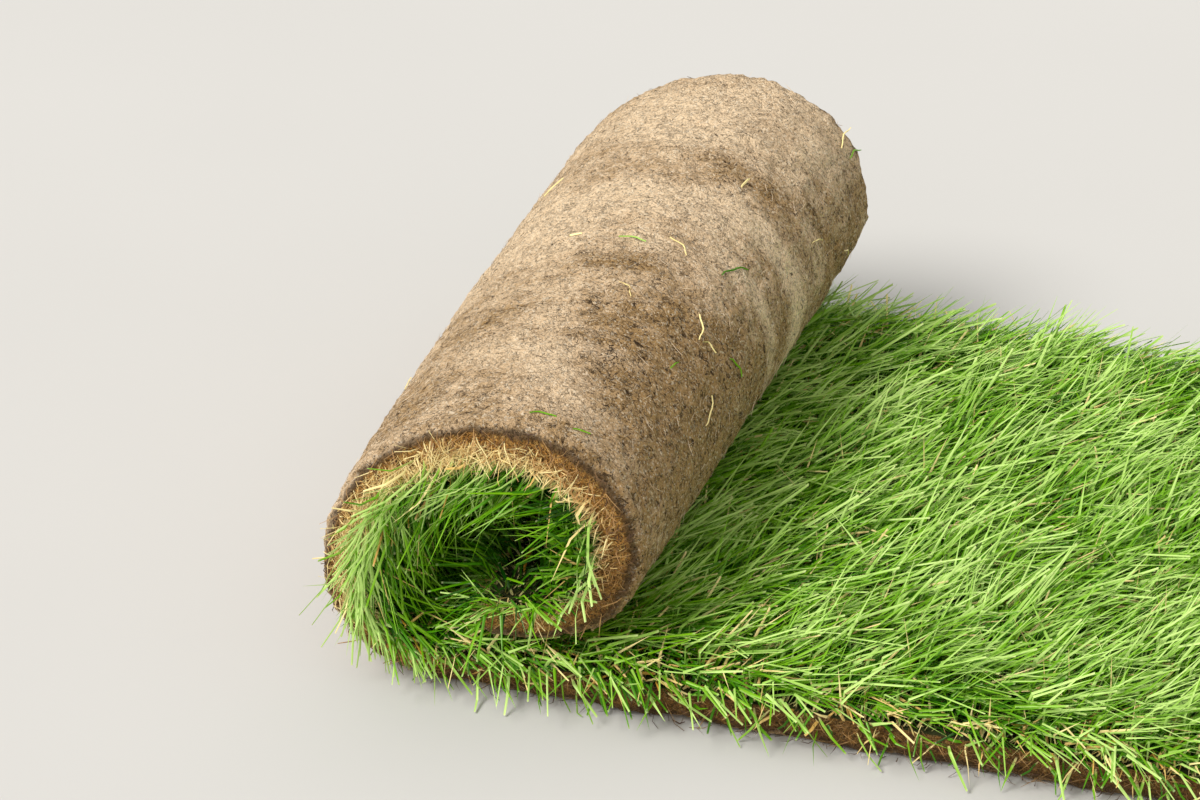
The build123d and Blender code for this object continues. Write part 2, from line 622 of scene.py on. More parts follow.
        ran = (graph.math("COSINE", root_lean) - graph.math("COSINE", lean)) / bend
        full_rise = graph.math("MAXIMUM", length * rise(root_lean + bend), self.LEAST_RISE)
        squeeze = graph.math("MINIMUM", read(graph, "room") / full_rise, 1.0)
        sag = read(graph, "droop") * length * along * along
        spine = self.vector("root") + growth * (length * rise(lean) * squeeze) + way * (length * ran)
        spine = spine - graph.merge(0.0, 0.0, sag)
        wave = along * self.CURL_TURN + chance[1] * self.CURL_START
        curl = given["Curl"] * along
        aside, up = curl * graph.math("SINE", wave), curl * graph.math("COSINE", wave) * squeeze
        return spine + flank * aside + growth * up, lean

    def held(self, spot: Term) -> Term:
        """Keeps points over the floor and inside the part's reach."""
        x, y, z = self.graph.split(spot)
        reach = self.given["Reach"]
        x = self.graph.math("MINIMUM", x, self.given["End"])
        y = self.graph.math("MINIMUM", self.graph.math("MAXIMUM", y, reach * -1.0), reach)
        return self.graph.merge(x, y, self.graph.math("MAXIMUM", z, self.given["Floor"]))

    def build(self) -> bpy.types.NodeTree:
        """Builds the tree.

        Returns:
            The tree, whose blades carry the attributes that their materials read.
        """
        graph, given, chance, luck = self.graph, self.given, self.chance, self.luck
        growth, way, flank = self.ways()
        across, sideways, height = graph.split(self.vector("shape"))
        along = height + 0.5
        spine, lean = self.spine(along, growth, way, flank)
        half_width = given["Width"] * 0.5 * (luck[0] * self.MORE_WIDTH + self.LEAST_WIDTH)
        x, y, z = graph.split(spine)
        spine = graph.merge(x, y, graph.math("MAXIMUM", z, given["Floor"] + half_width))

        back = growth * graph.math("SINE", lean) - way * graph.math("COSINE", lean)
        roll = (luck[2] * 2.0 - 1.0) * given["Roll"] + along * given["Twist"] * (chance[0] - 0.5)
        cosine, sine = graph.math("COSINE", roll), graph.math("SINE", roll)
        edge_way = flank * cosine + back * sine
        ridge_way = back * cosine - flank * sine
        pointed = graph.math("LESS_THAN", luck[1], given["Pointed share"])
        tip = self.BLUNT_TIP - pointed * self.POINTED_LESS
        swelling = graph.math("MINIMUM", along * self.SWELLING + self.ROOT_WIDTH, 1.0)
        half_width = half_width * (swelling * (1.0 - (1.0 - tip) * along * along * along))
        spot = spine + edge_way * (half_width * sideways / math.sin(math.radians(60)))
        spot = spot + ridge_way * (half_width * given["Thickness"] * across)

        inputs = {"Geometry": self.planted(), "Position": self.held(spot)}
        blades = graph.take(graph.add("GeometryNodeSetPosition", inputs))
        marks = {
            "along": along,
            # The hue offset shifts the tone: real tone on most growth, painted light on the roll's ends and
            # painted shade inside the roll.
            "tone": graph.math("ADD", chance[1], read(graph, "hue_and_painted_light"), clamp=True),
            "mown": 1.0 - pointed,
            "dry": self.dry,
            "pale_foot": read(graph, "foot") * (self.LEAST_FOOT + chance[2] * self.MORE_FOOT),
        }
        for name, value in marks.items():
            blades = store(graph, blades, name, value)
        return close_tree(graph, dressed(graph, blades, given["Finish"]))


WAVES_PER_METRE = {"Lumps": 24.0, "Clods": 75.0, "Crumbs": 210.0}


def relief_tree() -> bpy.types.NodeTree:
    """Roughens a smooth skin along its normals, and keeps it above the floor.

    Returns:
        The tree.
    """
    graph, given = new_geometry_tree("relief", {label: ("Float", 1.0) for label in WAVES_PER_METRE})
    place = graph.take(graph.add("GeometryNodeInputPosition"))
    normal = graph.take(graph.add("GeometryNodeInputNormal"))
    push = 0.0
    for label, scale in WAVES_PER_METRE.items():
        inputs = {"Vector": place, "Scale": scale, "Detail": 1.0, "Roughness": 0.5}
        push = (graph.take(graph.add("ShaderNodeTexNoise", inputs)) - 0.5) * given[label] + push
    x, y, z = graph.split(place + normal * (push * read(graph, "grit")))
    inputs = {"Geometry": given["Geometry"], "Position": graph.merge(x, y, graph.math("MAXIMUM", z, 0.0))}
    moved = graph.take(graph.add("GeometryNodeSetPosition", inputs))
    smooth = graph.take(graph.add("GeometryNodeSetShadeSmooth", {"Geometry": moved}))
    return close_tree(graph, dressed(graph, smooth, given["Finish"]))


# Finishes


def start_material(name: str) -> tuple[bpy.types.Material, Graph, bpy.types.Node]:
    """Starts a material.

    Args:
        name: the material's name.

    Returns:
        The material, its wiring, and its shader, which is linked to the output.
    """
    material = bpy.data.materials.new(name)
    material.use_nodes = True
    graph = Graph(material.node_tree)
    shader = graph.add("ShaderNodeBsdfPrincipled")
    graph.add("ShaderNodeOutputMaterial", {"Surface": graph.take(shader)})
    return material, graph, shader


def blend(graph: Graph, share: Any, first: Any, second: Any) -> Term:
    """Mixes two colours.

    Args:
        graph: the material's wiring.
        share: how much there is of the second one.
        first: a colour or a term.
        second: a colour or a term.

    Returns:
        The mixed colour.
    """
    node = graph.add("ShaderNodeMix", data_type="RGBA")
    graph.feed(node.inputs[0], share)
    for socket, value in ((node.inputs[6], first), (node.inputs[7], second)):
        graph.feed(socket, value if isinstance(value, Term) else (*value, 1.0))
    return Term(graph, node.outputs[2])


def coat(graph: Graph, colour: Any, coats: tuple[tuple[Any, Any], ...]) -> Term:
    """Lays colours over each other.

    Args:
        graph: the material's wiring.
        colour: the lowest one.
        coats: how much there is of each further one, and its colour.

    Returns:
        The colour that shows.
    """
    for share, over in coats:
        colour = blend(graph, share, colour, over)
    return colour


def mark(graph: Graph, name: str) -> Term:
    """A named attribute of the surface, as a number."""
    return graph.take(graph.add("ShaderNodeAttribute", attribute_name=name), "Fac")


def noise(graph: Graph, scale: Any, detail: Any = 3.0, rough: float = 0.55, distortion: float = 0.0,
          stretch: Triple | None = None) -> Term:
    """Noise in the object's own coordinates.

    Args:
        graph: the material's wiring.
        scale: how many waves there are to a metre.
        detail: how many finer layers lie over them.
        rough: how strong the finer layers are.
        distortion: how far the waves are twisted.
        stretch: how close they lie to each other along each axis, as a share.

    Returns:
        The noise, between 0 and 1.
    """
    where = graph.take(graph.add("ShaderNodeTexCoord"), "Object")
    if stretch:
        where = where * stretch
    inputs = {"Vector": where, "Scale": scale, "Detail": detail, "Roughness": rough, "Distortion": distortion}
    return graph.take(graph.add("ShaderNodeTexNoise", inputs))


def cells(graph: Graph, scale: float, warp: float) -> tuple[Term, Term]:
    """Grains in the object's own coordinates.

    Args:
        graph: the material's wiring.
        scale: how many grains there are to a metre.
        warp: how far noise bends them, in metres.

    Returns:
        The distance from a grain's middle, and a number from 0 to 1 that each grain has of its own.
    """
    where = graph.take(graph.add("ShaderNodeTexCoord"), "Object")
    bend = graph.add("ShaderNodeTexNoise", {"Vector": where, "Scale": scale * 0.6, "Detail": 2.0})
    where = where + (graph.take(bend, "Color") - (0.5, 0.5, 0.5)) * warp
    grains = graph.add("ShaderNodeTexVoronoi", {"Vector": where, "Scale": scale})
    return graph.take(grains, "Distance"), graph.split(graph.take(grains, "Color"))[0]


@functools.cache
def tone_group() -> bpy.types.NodeTree:
    """Builds the effect that blades and fibres share: their tone wanders over the surface.

    Returns:
        The group, whose inputs are the tone and the scale, detail and amount of its wandering.
    """
    sockets = {label: ("Float", 1.0) for label in ("Tone", "Scale", "Detail", "Amount")}
    graph, given = new_tree("wandering tone", "ShaderNodeTree", sockets, "Tone", "Float")
    wandering = (noise(graph, given["Scale"], given["Detail"]) - 0.5) * given["Amount"]
    return close_tree(graph, given["Tone"] + wandering)


def wander(graph: Graph, scale: float, detail: float, amount: float) -> tuple[Term, Term]:
    """Places the wandering tone in a material.

    Args:
        graph: the material's wiring.
        scale: how many waves there are to a metre.
        detail: how many finer layers lie over them.
        amount: how far the tone wanders.

    Returns:
        The piece's own tone, and the tone that wanders.
    """
    tone = mark(graph, "tone")
    inputs = {"Tone": tone, "Scale": scale, "Detail": detail, "Amount": amount}
    return tone, graph.take(graph.add("ShaderNodeGroup", inputs, node_tree=tone_group()))


@dataclass(frozen=True)
class SoilFinish:
    """Dry soil felted with roots on the outside, thatch on the cuts, and litter under the grass painted near
    black as shade; painted shade also darkens its hollows and cut rims.

    Attributes:
        dark: the darkest soil, also used as painted shade in pits, seams and cracks and on the rims of the
            cuts.
        damp_and_shade: darker, redder patches: damp soil, and painted shade on the roll's right flank.
        plain: most of the soil.
        pale: dusty soil.
        bright: single light grains and fibres.
        rust: thatch on the cuts.
        straw: the lighter fibres of the thatch.
        shaded_litter: the ground between the blades, painted near black as the shade under them.
        roughness: how dull it is.
        specular: how much light it throws back.
        relief: how deep its finest grain is.
    """

    dark: Triple = (0.05, 0.027, 0.011)
    damp_and_shade: Triple = (0.46, 0.285, 0.12)
    plain: Triple = (0.73, 0.515, 0.305)
    pale: Triple = (0.97, 0.73, 0.47)
    bright: Triple = (1.0, 0.93, 0.76)
    rust: Triple = (0.62, 0.30, 0.07)
    straw: Triple = (0.95, 0.64, 0.21)
    shaded_litter: Triple = (0.042, 0.048, 0.014)
    roughness: float = 0.95
    specular: float = 0.2
    relief: float = 2 * MM

    def make(self) -> bpy.types.Material:
        """Builds the material.

        Returns:
            The material, which reads the attributes depth, dust and cracked.
        """
        material, graph, shader = start_material("felted soil")
        spread = graph.spread
        depth, dust_and_shade = mark(graph, "depth"), mark(graph, "dust_and_shade")
        speckle = noise(graph, 640, 4, 0.72, 0.4)
        pits = noise(graph, 320, 3, 0.6, 0.8, stretch=(0.6, 1.0, 0.6))
        fibre = noise(graph, 420, 3, 0.6, 2.5)
        dome, grain = cells(graph, 950, 1.5 * MM)
        fissure = graph.math("ABSOLUTE", noise(graph, 48, 4, 0.62) - 0.5)
        crumbled = graph.math("ABSOLUTE", noise(graph, 105, 4, 0.68, 0.5) - 0.5)
        rubbed = noise(graph, 70, 4, 0.65, 0.5, stretch=(0.2, 1.0, 0.3))
        clods = noise(graph, 130, 3, 0.6)

        shade = dust_and_shade * 0.65 + noise(graph, 14, 4, 0.6) * 2.0 + rubbed * 1.2 + clods * 0.9 - 1.62
        # How dark the soil is, from damp and from painted shade; darker soil gets more pits and seams.
        moist_and_shaded = spread(shade, 0.0, 0.6, 1.0, 0.0)
        seam = spread(crumbled - moist_and_shaded * 0.015, 0.0, 0.020, 0.8, 0.0)
        split = spread(fissure, 0.003, 0.012, 0.9, 0.0) * mark(graph, "cracked")
        # Where the shade number is lowest, the soil takes its darkest, reddest colour: damp, and painted
        # shade on the roll's right flank.
        soil = coat(graph, self.damp_and_shade, (
            (spread(shade, 0.05, 0.50), self.plain),
            (spread(shade, 0.45, 0.95), self.pale),
            (spread(grain, 0.0, 0.4, 0.35, 0.0), self.dark),
            (spread(grain, 0.78, 1.0, 0.0, 0.45), self.bright),
            (spread(speckle, 0.36, 0.44, 1.0, 0.0) * spread(shade, 0.1, 1.1, 1.0, 0.6), self.dark),
            # Painted shade: pits, seams and cracks are darkened where the bump sinks.
            (spread(pits - moist_and_shaded * 0.06, 0.27, 0.33, 0.95, 0.0), self.dark),
            (seam * spread(pits, 0.42, 0.56, 1.0, 0.0), self.dark),
            (split, self.dark),
            (spread(fibre, 0.62, 0.72, 0.0, 0.4), self.bright),
        ))
        thatch = coat(graph, self.dark, (
            (spread(speckle + grain * 0.4, 0.45, 0.85), self.rust),
            (spread(fibre, 0.52, 0.68, 0.0, 0.8), self.straw),
            # Painted shade besides damp: the thatch on the laid stretch's cuts is darkened under its
            # overhanging grass.
            (spread(dust_and_shade, -0.9, -0.5, 0.6, 0.0), self.dark),
        ))
        ragged = depth + (noise(graph, 90, 3) - 0.5) * 0.3
        # Painted shade: a dark band on the rounded soil rim where it meets the thatch on each cut.
        rim = spread(ragged, 0.06, 0.16) * spread(ragged, 0.26, 0.40, 1.0, 0.0)
        colour = coat(graph, soil, (
            (spread(ragged, 0.16, 0.30), thatch),
            (rim * 0.7, self.dark),
            # Painted shade: the ground under the grass is coloured near black.
            (spread(depth, 0.965, 0.99), self.shaded_litter),
        ))
        height = speckle * 0.6 + (1.0 - dome) * 0.3 + pits * 1.4 + fibre * 0.4 + clods - split - seam * 0.4
        bump = graph.add("ShaderNodeBump", {"Height": height, "Strength": 1.0, "Distance": self.relief})
        graph.feed(shader.inputs["Base Color"], colour)
        graph.feed(shader.inputs["Normal"], graph.take(bump))
        shader.inputs["Roughness"].default_value = self.roughness
        shader.inputs["Specular IOR Level"].default_value = self.specular
        return material


@dataclass(frozen=True)
class BladeFinish:
    """Blades of grass: pale at the root, green above, each a little different, with some dry ones.

    Attributes:
        name: the material's name.
        root: the colour at the foot of a blade.
        greens: the greens that blades have, from the darkest to the lightest.
        dry: the colours of dead blades.
        cut: the colour of a mown tip.
        sheen: the tint of the light that they throw back.
        roughness: how dull they are.
        specular: how much light they throw back.
        gathered: how far the darker greens are drawn out over the lighter ones.
        cut_share: how much of a mown tip's colour shows.
    """

    name: str = "grass blades"
    root: Triple = (0.80, 0.68, 0.30)
    greens: tuple[Triple, ...] = (
        (0.004, 0.060, 0.001), (0.06, 0.25, 0.001), (0.20, 0.46, 0.007), (0.55, 0.78, 0.22),
    )
    dry: tuple[Triple, Triple] = ((0.70, 0.33, 0.03), (1.0, 0.84, 0.38))
    cut: Triple = (0.82, 0.77, 0.45)
    sheen: Triple = (0.90, 1.0, 0.55)
    roughness: float = 0.34
    specular: float = 0.50
    gathered: float = 0.85
    cut_share: float = 0.3

    def make(self) -> bpy.types.Material:
        """Builds the material.

        Returns:
            The material, which reads the attributes along, tone, mown, dry and pale_foot.
        """
        material, graph, shader = start_material(self.name)
        along = mark(graph, "along")
        tone, wandering = wander(graph, 18, 3, 0.8)
        shades = graph.add("ShaderNodeValToRGB", {"Fac": wandering})
        stops = shades.color_ramp.elements
        while len(stops) < len(self.greens):
            stops.new(0.5)
        for step, (stop, colour) in enumerate(zip(stops, self.greens)):
            stop.position = (step / (len(self.greens) - 1)) ** self.gathered
            stop.color = (*colour, 1.0)
        foot_end = graph.math("MAXIMUM", mark(graph, "pale_foot"), 0.01)
        colour = coat(graph, graph.take(shades), (
            (mark(graph, "dry"), blend(graph, tone, *self.dry)),
            (graph.spread(along, foot_end * 0.3, foot_end, 1.0, 0.0), self.root),
            (graph.spread(along, 0.96, 0.985) * mark(graph, "mown") * self.cut_share, self.cut),
        ))
        graph.feed(shader.inputs["Base Color"], colour)
        shader.inputs["Roughness"].default_value = self.roughness
        shader.inputs["Specular IOR Level"].default_value = self.specular
        shader.inputs["Specular Tint"].default_value = (*self.sheen, 1.0)
        return material


@dataclass(frozen=True)
class FibreFinish:
    """Roots, stems and straw, from dark to pale.

    Attributes:
        name: the material's name.
        dark: the darkest fibres.
        pale: the palest.
        roughness: how dull they are.
    """

    name: str
    dark: Triple
    pale: Triple
    roughness: float = 0.7

    def make(self) -> bpy.types.Material:
        """Builds the material.

        Returns:
            The material, which reads the attribute tone.
        """
        material, graph, shader = start_material(self.name)
        _, wandering = wander(graph, 260, 2, 0.6)
        colour = blend(graph, graph.spread(wandering, 0.0, 1.0), self.dark, self.pale)
        graph.feed(shader.inputs["Base Color"], colour)
        shader.inputs["Roughness"].default_value = self.roughness
        return material


# The mat


class Patch(NamedTuple):
    """A soft patch on the soil.

    Attributes:
        leg: the leg number of its middle.
        y: its middle's place along the roll, in millimetres.
        legs: how far it reaches along the strip, in legs.
        wide: how far it reaches along the roll, in millimetres.
        strength: how strong it is at its middle.
    """

    leg: float
    y: float
    legs: float
    wide: float
    strength: float


@dataclass
class RootMat:
    """The strip of soil, roots and thatch, with its worn rims and torn cuts.

    Attributes:
        strip: the course that it follows.
        pitch: the size of its cells on the roll, before the parts that show are divided.
        laid_pitch: their length on the laid stretch.
        layers: how many cells it has through its thickness.
        rim: how far its soil rims are rounded off.
        fineness: how many times the cells that show are halved.
        cut_grit: how rough the cuts are, against the relief's own measure.
        soil_grit: how rough the roll's soil side is.
        under_grit: how rough the laid stretch's underside is.
    """

    strip: Strip
    pitch: float = 10.4 * MM
    laid_pitch: float = 14 * MM
    layers: int = 4
    rim: float = 8 * MM
    fineness: int = 2
    cut_grit: float = 2.4 * MM
    soil_grit: float = 1.5 * MM
    under_grit: float = 0.8 * MM

    RELIEF = {"Lumps": 2.6, "Clods": 2.6, "Crumbs": 2.0}
    MARKS = ("depth", "dust_and_shade", "cracked")
    AT_END = 0.001
    LEAST_DUST = -0.9
    MOST_DUST = 1.4

    DUSTY = (
        Patch(2.9, 130, 0.25, 26, 1.4), Patch(3.0, 175, 0.40, 24, 1.1), Patch(2.6, 70, 0.60, 60, 0.5),
        Patch(2.7, 40, 0.30, 20, 0.9), Patch(2.8, -5, 0.30, 20, 0.6), Patch(3.25, 45, 0.25, 14, 1.2),
        Patch(3.7, 55, 0.35, 10, 1.8), Patch(4.2, 55, 0.40, 9, 1.9), Patch(3.8, 10, 0.45, 7, 1.0),
        Patch(2.7, -140, 0.40, 55, 0.1), Patch(2.3, -60, 0.50, 60, 0.2), Patch(3.5, 150, 0.25, 25, 0.4),
    )
    # Darker patches: damp soil, and at legs 4.3 and 4.5, on the roll's right flank, painted shade as well.
    DAMP_AND_SHADE_PATCHES = (
        Patch(3.0, 60, 0.20, 12, 0.7), Patch(3.2, 85, 0.35, 18, 0.6), Patch(3.1, -60, 0.35, 45, 0.15),
        Patch(4.3, -110, 0.70, 110, 1.5), Patch(3.4, -120, 0.25, 50, 0.4), Patch(4.5, 130, 0.50, 60, 0.9),
    )
    CRACKED = (Patch(3.2, -115, 0.20, 16, 1.3), Patch(3.5, -150, 0.20, 12, 0.8))

    def profile(self) -> tuple[np.ndarray, np.ndarray]:
        """The mat's cross-section as a lattice of places across its width and its thickness.

        Returns:
            How far along the roll and how deep each lattice point lies.
        """
        half, rim, mat = self.strip.half, self.rim, self.strip.mat
        corner = np.radians(np.linspace(0, 45, 3))[1:]
        middle = np.linspace(-(half - rim), half - rim, round(2 * (half - rim) / self.pitch) + 1)
        arc_y = half - rim + rim * np.sin(corner)
        arc_depth = rim - rim * np.cos(corner)
        soil_y = np.concatenate([-arc_y[::-1], middle, arc_y])
        soil_depth = np.concatenate([arc_depth[::-1], np.zeros_like(middle), arc_depth])
        grass_y = soil_y / arc_y[-1] * half
        share = np.linspace(0, 1, self.layers + 1)
        y = soil_y[:, None] * (1 - share) + grass_y[:, None] * share
        depth = soil_depth[:, None] * (1 - share) + mat * share
        turn = np.radians([45, 67.5, 90])
        side_depth = np.concatenate([rim - rim * np.cos(turn), np.linspace(rim, mat, self.layers - 1)[1:]])
        side_y = np.concatenate([half - rim + rim * np.sin(turn), np.full(self.layers - 2, half)])
        for edge, sign in ((0, -1), (-1, 1)):
            y[edge], depth[edge] = sign * side_y, side_depth
        return y, depth

    def shows(self, edge: bmesh.types.BMEdge) -> bool:
        """Tells the roll's soil side and the cuts from the rest.

        Args:
            edge: an edge whose corners hold leg, place and depth.

        Returns:
            True where it lies on one of them.
        """
        (leg, y, depth), (leg_2, y_2, depth_2) = (corner.co for corner in edge.verts)
        rolled = min(leg, leg_2) > 1 - self.AT_END and max(depth, depth_2) < self.strip.mat * 0.9
        cut = min(abs(y), abs(y_2)) > self.strip.half * 0.985
        return rolled or cut or max(leg, leg_2) < self.AT_END

    def divided(self, spots: np.ndarray, faces: np.ndarray) -> bpy.types.Object:
        """Halves the cells that show, still flat in leg, place and depth.

        Args:
            spots: leg number, place along the roll and depth of each corner.
            faces: the cells.

        Returns:
            The mesh, whose corners hold leg, place and depth instead of a position.
        """
        obj = mesh_object("turf_mat", spots, faces, {})
        work = bmesh.new()
        work.from_mesh(obj.data)
        for _ in range(self.fineness):
            shown = [edge for edge in work.edges if self.shows(edge)]
            bmesh.ops.subdivide_edges(work, edges=shown, cuts=1, use_grid_fill=True)
        work.to_mesh(obj.data)
        work.free()
        return obj

    def build(self, relief: bpy.types.NodeTree, finish: bpy.types.Material) -> bpy.types.Object:
        """Makes the mat.

        Args:
            relief: the tree that roughens it.
            finish: its material.

        Returns:
            The finished piece.
        """
        rolled = self.strip.steps(1, Strip.LEGS, self.pitch)[1:]
        legs = np.concatenate([self.strip.steps(0, 1, self.laid_pitch), rolled])
        lattice = (legs[:, None, None], *self.profile())
        shape = (len(legs), *lattice[1].shape)
        faces, used = lattice_skin(shape)
        spots = np.stack([np.broadcast_to(part, shape).reshape(-1)[used] for part in lattice], -1)
        obj = self.divided(spots, faces)
        spots = np.empty(len(obj.data.vertices) * 3, np.float32)
        obj.data.vertices.foreach_get("co", spots)
        leg, y, depth = spots.astype(float).reshape(-1, 3).T
        place = self.strip.place(leg, y, depth)
        obj.data.vertices.foreach_set("co", place.at.astype(np.float32).ravel())
        at_end = (leg < self.AT_END) | (leg > Strip.LEGS - self.AT_END)
        on_cut = (np.abs(y) / self.strip.half > 0.97) | at_end
        under_laid = (leg < 1) & ~on_cut
        marks = {
            "depth": depth / self.strip.mat,
            "grit": np.where(on_cut, self.cut_grit, np.where(under_laid, self.under_grit, self.soil_grit)),
            "dust_and_shade": self.dust_and_shade(leg, y),
            "cracked": gathered(leg, y, self.CRACKED),
        }
        for name, values in marks.items():
            attribute = obj.data.attributes.new(name, "FLOAT", "POINT")
            attribute.data.foreach_set("value", values.astype(np.float32))
        obj = grown(obj, relief, self.RELIEF | {"Finish": finish}, self.MARKS)
        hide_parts("root_mat")
        return obj

    def dust_and_shade(self, leg: np.ndarray, y: np.ndarray) -> np.ndarray:
        """How dusty the soil is, and where it is darker: a pale band lies round the roll, and pale patches
        near its far end.

        Args:
            leg: leg numbers of places on the soil.
            y: their places along the roll.

        Returns:
            A number for each place, 1 where it is dusty and below 0 where it is darker than elsewhere: on
            damp patches, as painted shade on the roll's right flank, and over the whole laid stretch.
        """
        dust_and_shade = gathered(leg, y, self.DUSTY) - gathered(leg, y, self.DAMP_AND_SHADE_PATCHES)
        # The whole laid stretch takes the lowest number, which darkens the thatch on its cuts as painted
        # shade besides damp.
        return np.where(leg < 1, self.LEAST_DUST, np.clip(dust_and_shade, self.LEAST_DUST, self.MOST_DUST))


def gathered(leg: np.ndarray, y: np.ndarray, patches: tuple[Patch, ...]) -> np.ndarray:
    """How strongly soft round patches cover places on the strip.

    Args:
        leg: leg numbers of the places.
        y: their places along the roll.
        patches: the patches.

    Returns:
        The sum of the patches' strengths at each place.
    """
    total = np.zeros_like(leg)
    for patch in patches:
        away = ((leg - patch.leg) / patch.legs) ** 2 + ((y / MM - patch.y) / patch.wide) ** 2
        total += patch.strength * np.exp(-away)
    return total


def lattice_skin(shape: tuple[int, int, int]) -> tuple[np.ndarray, np.ndarray]:
    """The outer faces of a block of lattice points, turned outwards.

    Args:
        shape: how many points the block has each way.

    Returns:
        The faces, numbered among the points in use, and the numbers of those points in the whole block.
    """
    index = np.arange(np.prod(shape)).reshape(shape)
    faces = []
    for axis in range(3):
        for end in (0, -1):
            cells_of_side = quads(np.take(index, end, axis=axis))
            outwards = (end == -1) != (axis == 1)
            faces.append(cells_of_side if outwards else cells_of_side[:, ::-1])
    faces = np.concatenate(faces)
    used, numbers = np.unique(faces, return_inverse=True)
    return numbers.reshape(faces.shape), used


# The growth


SIDES = {"near": -1, "far": 1}
ALONG_ROLL = np.array([0.0, 1.0, 0.0])
DOWN = np.array([0.0, 0.0, -1.0])


@dataclass(frozen=True)
class Sheet:
    """A seedbed: places on the strip in rows and columns.

    Attributes:
        leg: leg numbers.
        y: places along the roll.
        depth: how deep in the strip.
        place: the points themselves.
        out: the way out of the strip, for a sheet that lies on a cut.
    """

    leg: np.ndarray
    y: np.ndarray
    depth: np.ndarray
    place: Place
    out: np.ndarray

    @classmethod
    def along(cls, strip: Strip, legs: np.ndarray, across: np.ndarray, depth: float) -> "Sheet":
        """Lays a sheet along the strip.

        Args:
            strip: the strip's course.
            legs: the rows' leg numbers.
            across: the columns' places along the roll.
            depth: how deep in the strip it lies.

        Returns:
            The sheet.
        """
        leg, y = np.meshgrid(legs, across, indexing="ij")
        place = strip.place(leg, y, depth)
        return cls(leg, y, np.full_like(leg, depth), place, 0 * place.at)

    @classmethod
    def on_cut(cls, strip: Strip, legs: np.ndarray, depths: np.ndarray, side: int) -> "Sheet":
        """Lays a sheet on a long cut.

        Args:
            strip: the strip's course.
            legs: the rows' leg numbers.
            depths: the columns' depths.
            side: -1 for the near cut and 1 for the far one.

        Returns:
            The sheet.
        """
        leg, depth = np.meshgrid(legs, depths, indexing="ij")
        place = strip.place(leg, side * strip.half, depth)
        return cls(leg, np.full_like(leg, side * strip.half), depth, place, side * ALONG_ROLL + 0 * place.at)

    @classmethod
    def on_end(cls, strip: Strip, across: np.ndarray, depths: np.ndarray, leg: float) -> "Sheet":
        """Lays a sheet on the cut end or the inner end.

        Args:
            strip: the strip's course.
            across: the rows' places along the roll.
            depths: the columns' depths.
            leg: the leg number of the end.

        Returns:
            The sheet.
        """
        y, depth = np.meshgrid(across, depths, indexing="ij")
        place = strip.place(leg, y, depth)
        out = place.onward if leg > 1 else -place.onward
        return cls(np.full_like(y, leg), y, depth, place, out)

    def seedbed(self, name: str, habit: dict[str, Any]) -> bpy.types.Object:
        """Makes the sheet a mesh that a growth tree uses up.

        Args:
            name: the name of the piece that grows on it.
            habit: how things grow at each place, by the attribute's name.

        Returns:
            The seedbed.
        """
        marks = {}
        for key, value in habit.items():
            value = np.asarray(value, float)
            many = value.ndim > 0 and value.shape[-1] == 3
            shape = (*self.leg.shape, 3) if many else self.leg.shape
            marks[key] = np.broadcast_to(value, shape).reshape(self.leg.size, *shape[2:])
        faces = quads(np.arange(self.leg.size).reshape(self.leg.shape))
        return mesh_object(name, self.place.at.reshape(-1, 3), faces, marks)


def unit(vectors: np.ndarray) -> np.ndarray:
    """Vectors brought to length one."""
    return vectors / np.linalg.norm(vectors, axis=-1, keepdims=True)


def ramp(values: np.ndarray, low: Any, high: Any) -> np.ndarray:
    """0 below one value, 1 above another, and even between them."""
    return np.clip((values - low) / (high - low), 0, 1)


def ripple(x: np.ndarray, y: np.ndarray, size: float) -> np.ndarray:
    """An uneven swell over the ground, whose waves are about six sizes long.

    Args:
        x: places one way.
        y: places the other way.
        size: how large the waves are.

    Returns:
        The swell, between -1 and 1.
    """
    one_way = np.sin(x / size + 1.9 * np.sin(y / size * 0.7 + 1))
    other_way = np.sin(y / size * 1.3 + 1.7 * np.sin(x / size * 0.6 + 2))
    return (one_way + other_way) / 2


@dataclass(frozen=True)
class Growth:
    """Sizes of one kind of blade or fibre, in metres and radians.

    Attributes:
        length: how long it is.
        width: how wide.
        root_lean: how far it leans at its root.
        tip_lean: how far it leans at its tip.
        density: how many grow on a square metre.
        bends: how many straight stretches it has.
        uneven_length: how much lengths differ.
        uneven_lean: how much leans differ.
        thickness: its thickness as a share of its width.
        roll: how far it may turn about itself.
        twist: how far it twists along its length.
        curl: how far it waves to the sides.
        pointed: the share that ends in a point.
        dry_length: how long a dead one is, as a share.
    """

    length: float = 44 * MM
    width: float = 1.65 * MM
    root_lean: float = math.radians(1)
    tip_lean: float = math.radians(104)
    density: float = 130000.0
    bends: int = 2
    uneven_length: float = 0.42
    uneven_lean: float = math.radians(34)
    thickness: float = 0.14
    roll: float = 1.0
    twist: float = 1.2
    curl: float = 0.9 * MM
    pointed: float = 0.5
    dry_length: float = 0.75

    FLOOR = 0.4 * MM
    REACH = 230 * MM
    END = 460 * MM

    def values(self, seed: int, finish: bpy.types.Material) -> dict[str, Any]:
        """What the blade tree is given.

        Args:
            seed: the seed of every random draw.
            finish: the material.

        Returns:
            The tree's inputs, by name.
        """
        return {
            "Per square metre": self.density, "Length": self.length, "Uneven length": self.uneven_length,
            "Width": self.width, "Thickness": self.thickness, "Root lean": self.root_lean,
            "Tip lean": self.tip_lean, "Uneven lean": self.uneven_lean, "Roll": self.roll,
            "Twist": self.twist, "Curl": self.curl, "Pointed share": self.pointed,
            "Dry length": self.dry_length, "Floor": self.FLOOR, "Reach": self.REACH, "End": self.END,
            "Bends": self.bends, "Seed": seed, "Finish": finish,
        }


BLADE_MARKS = ("along", "tone", "mown", "dry", "pale_foot")


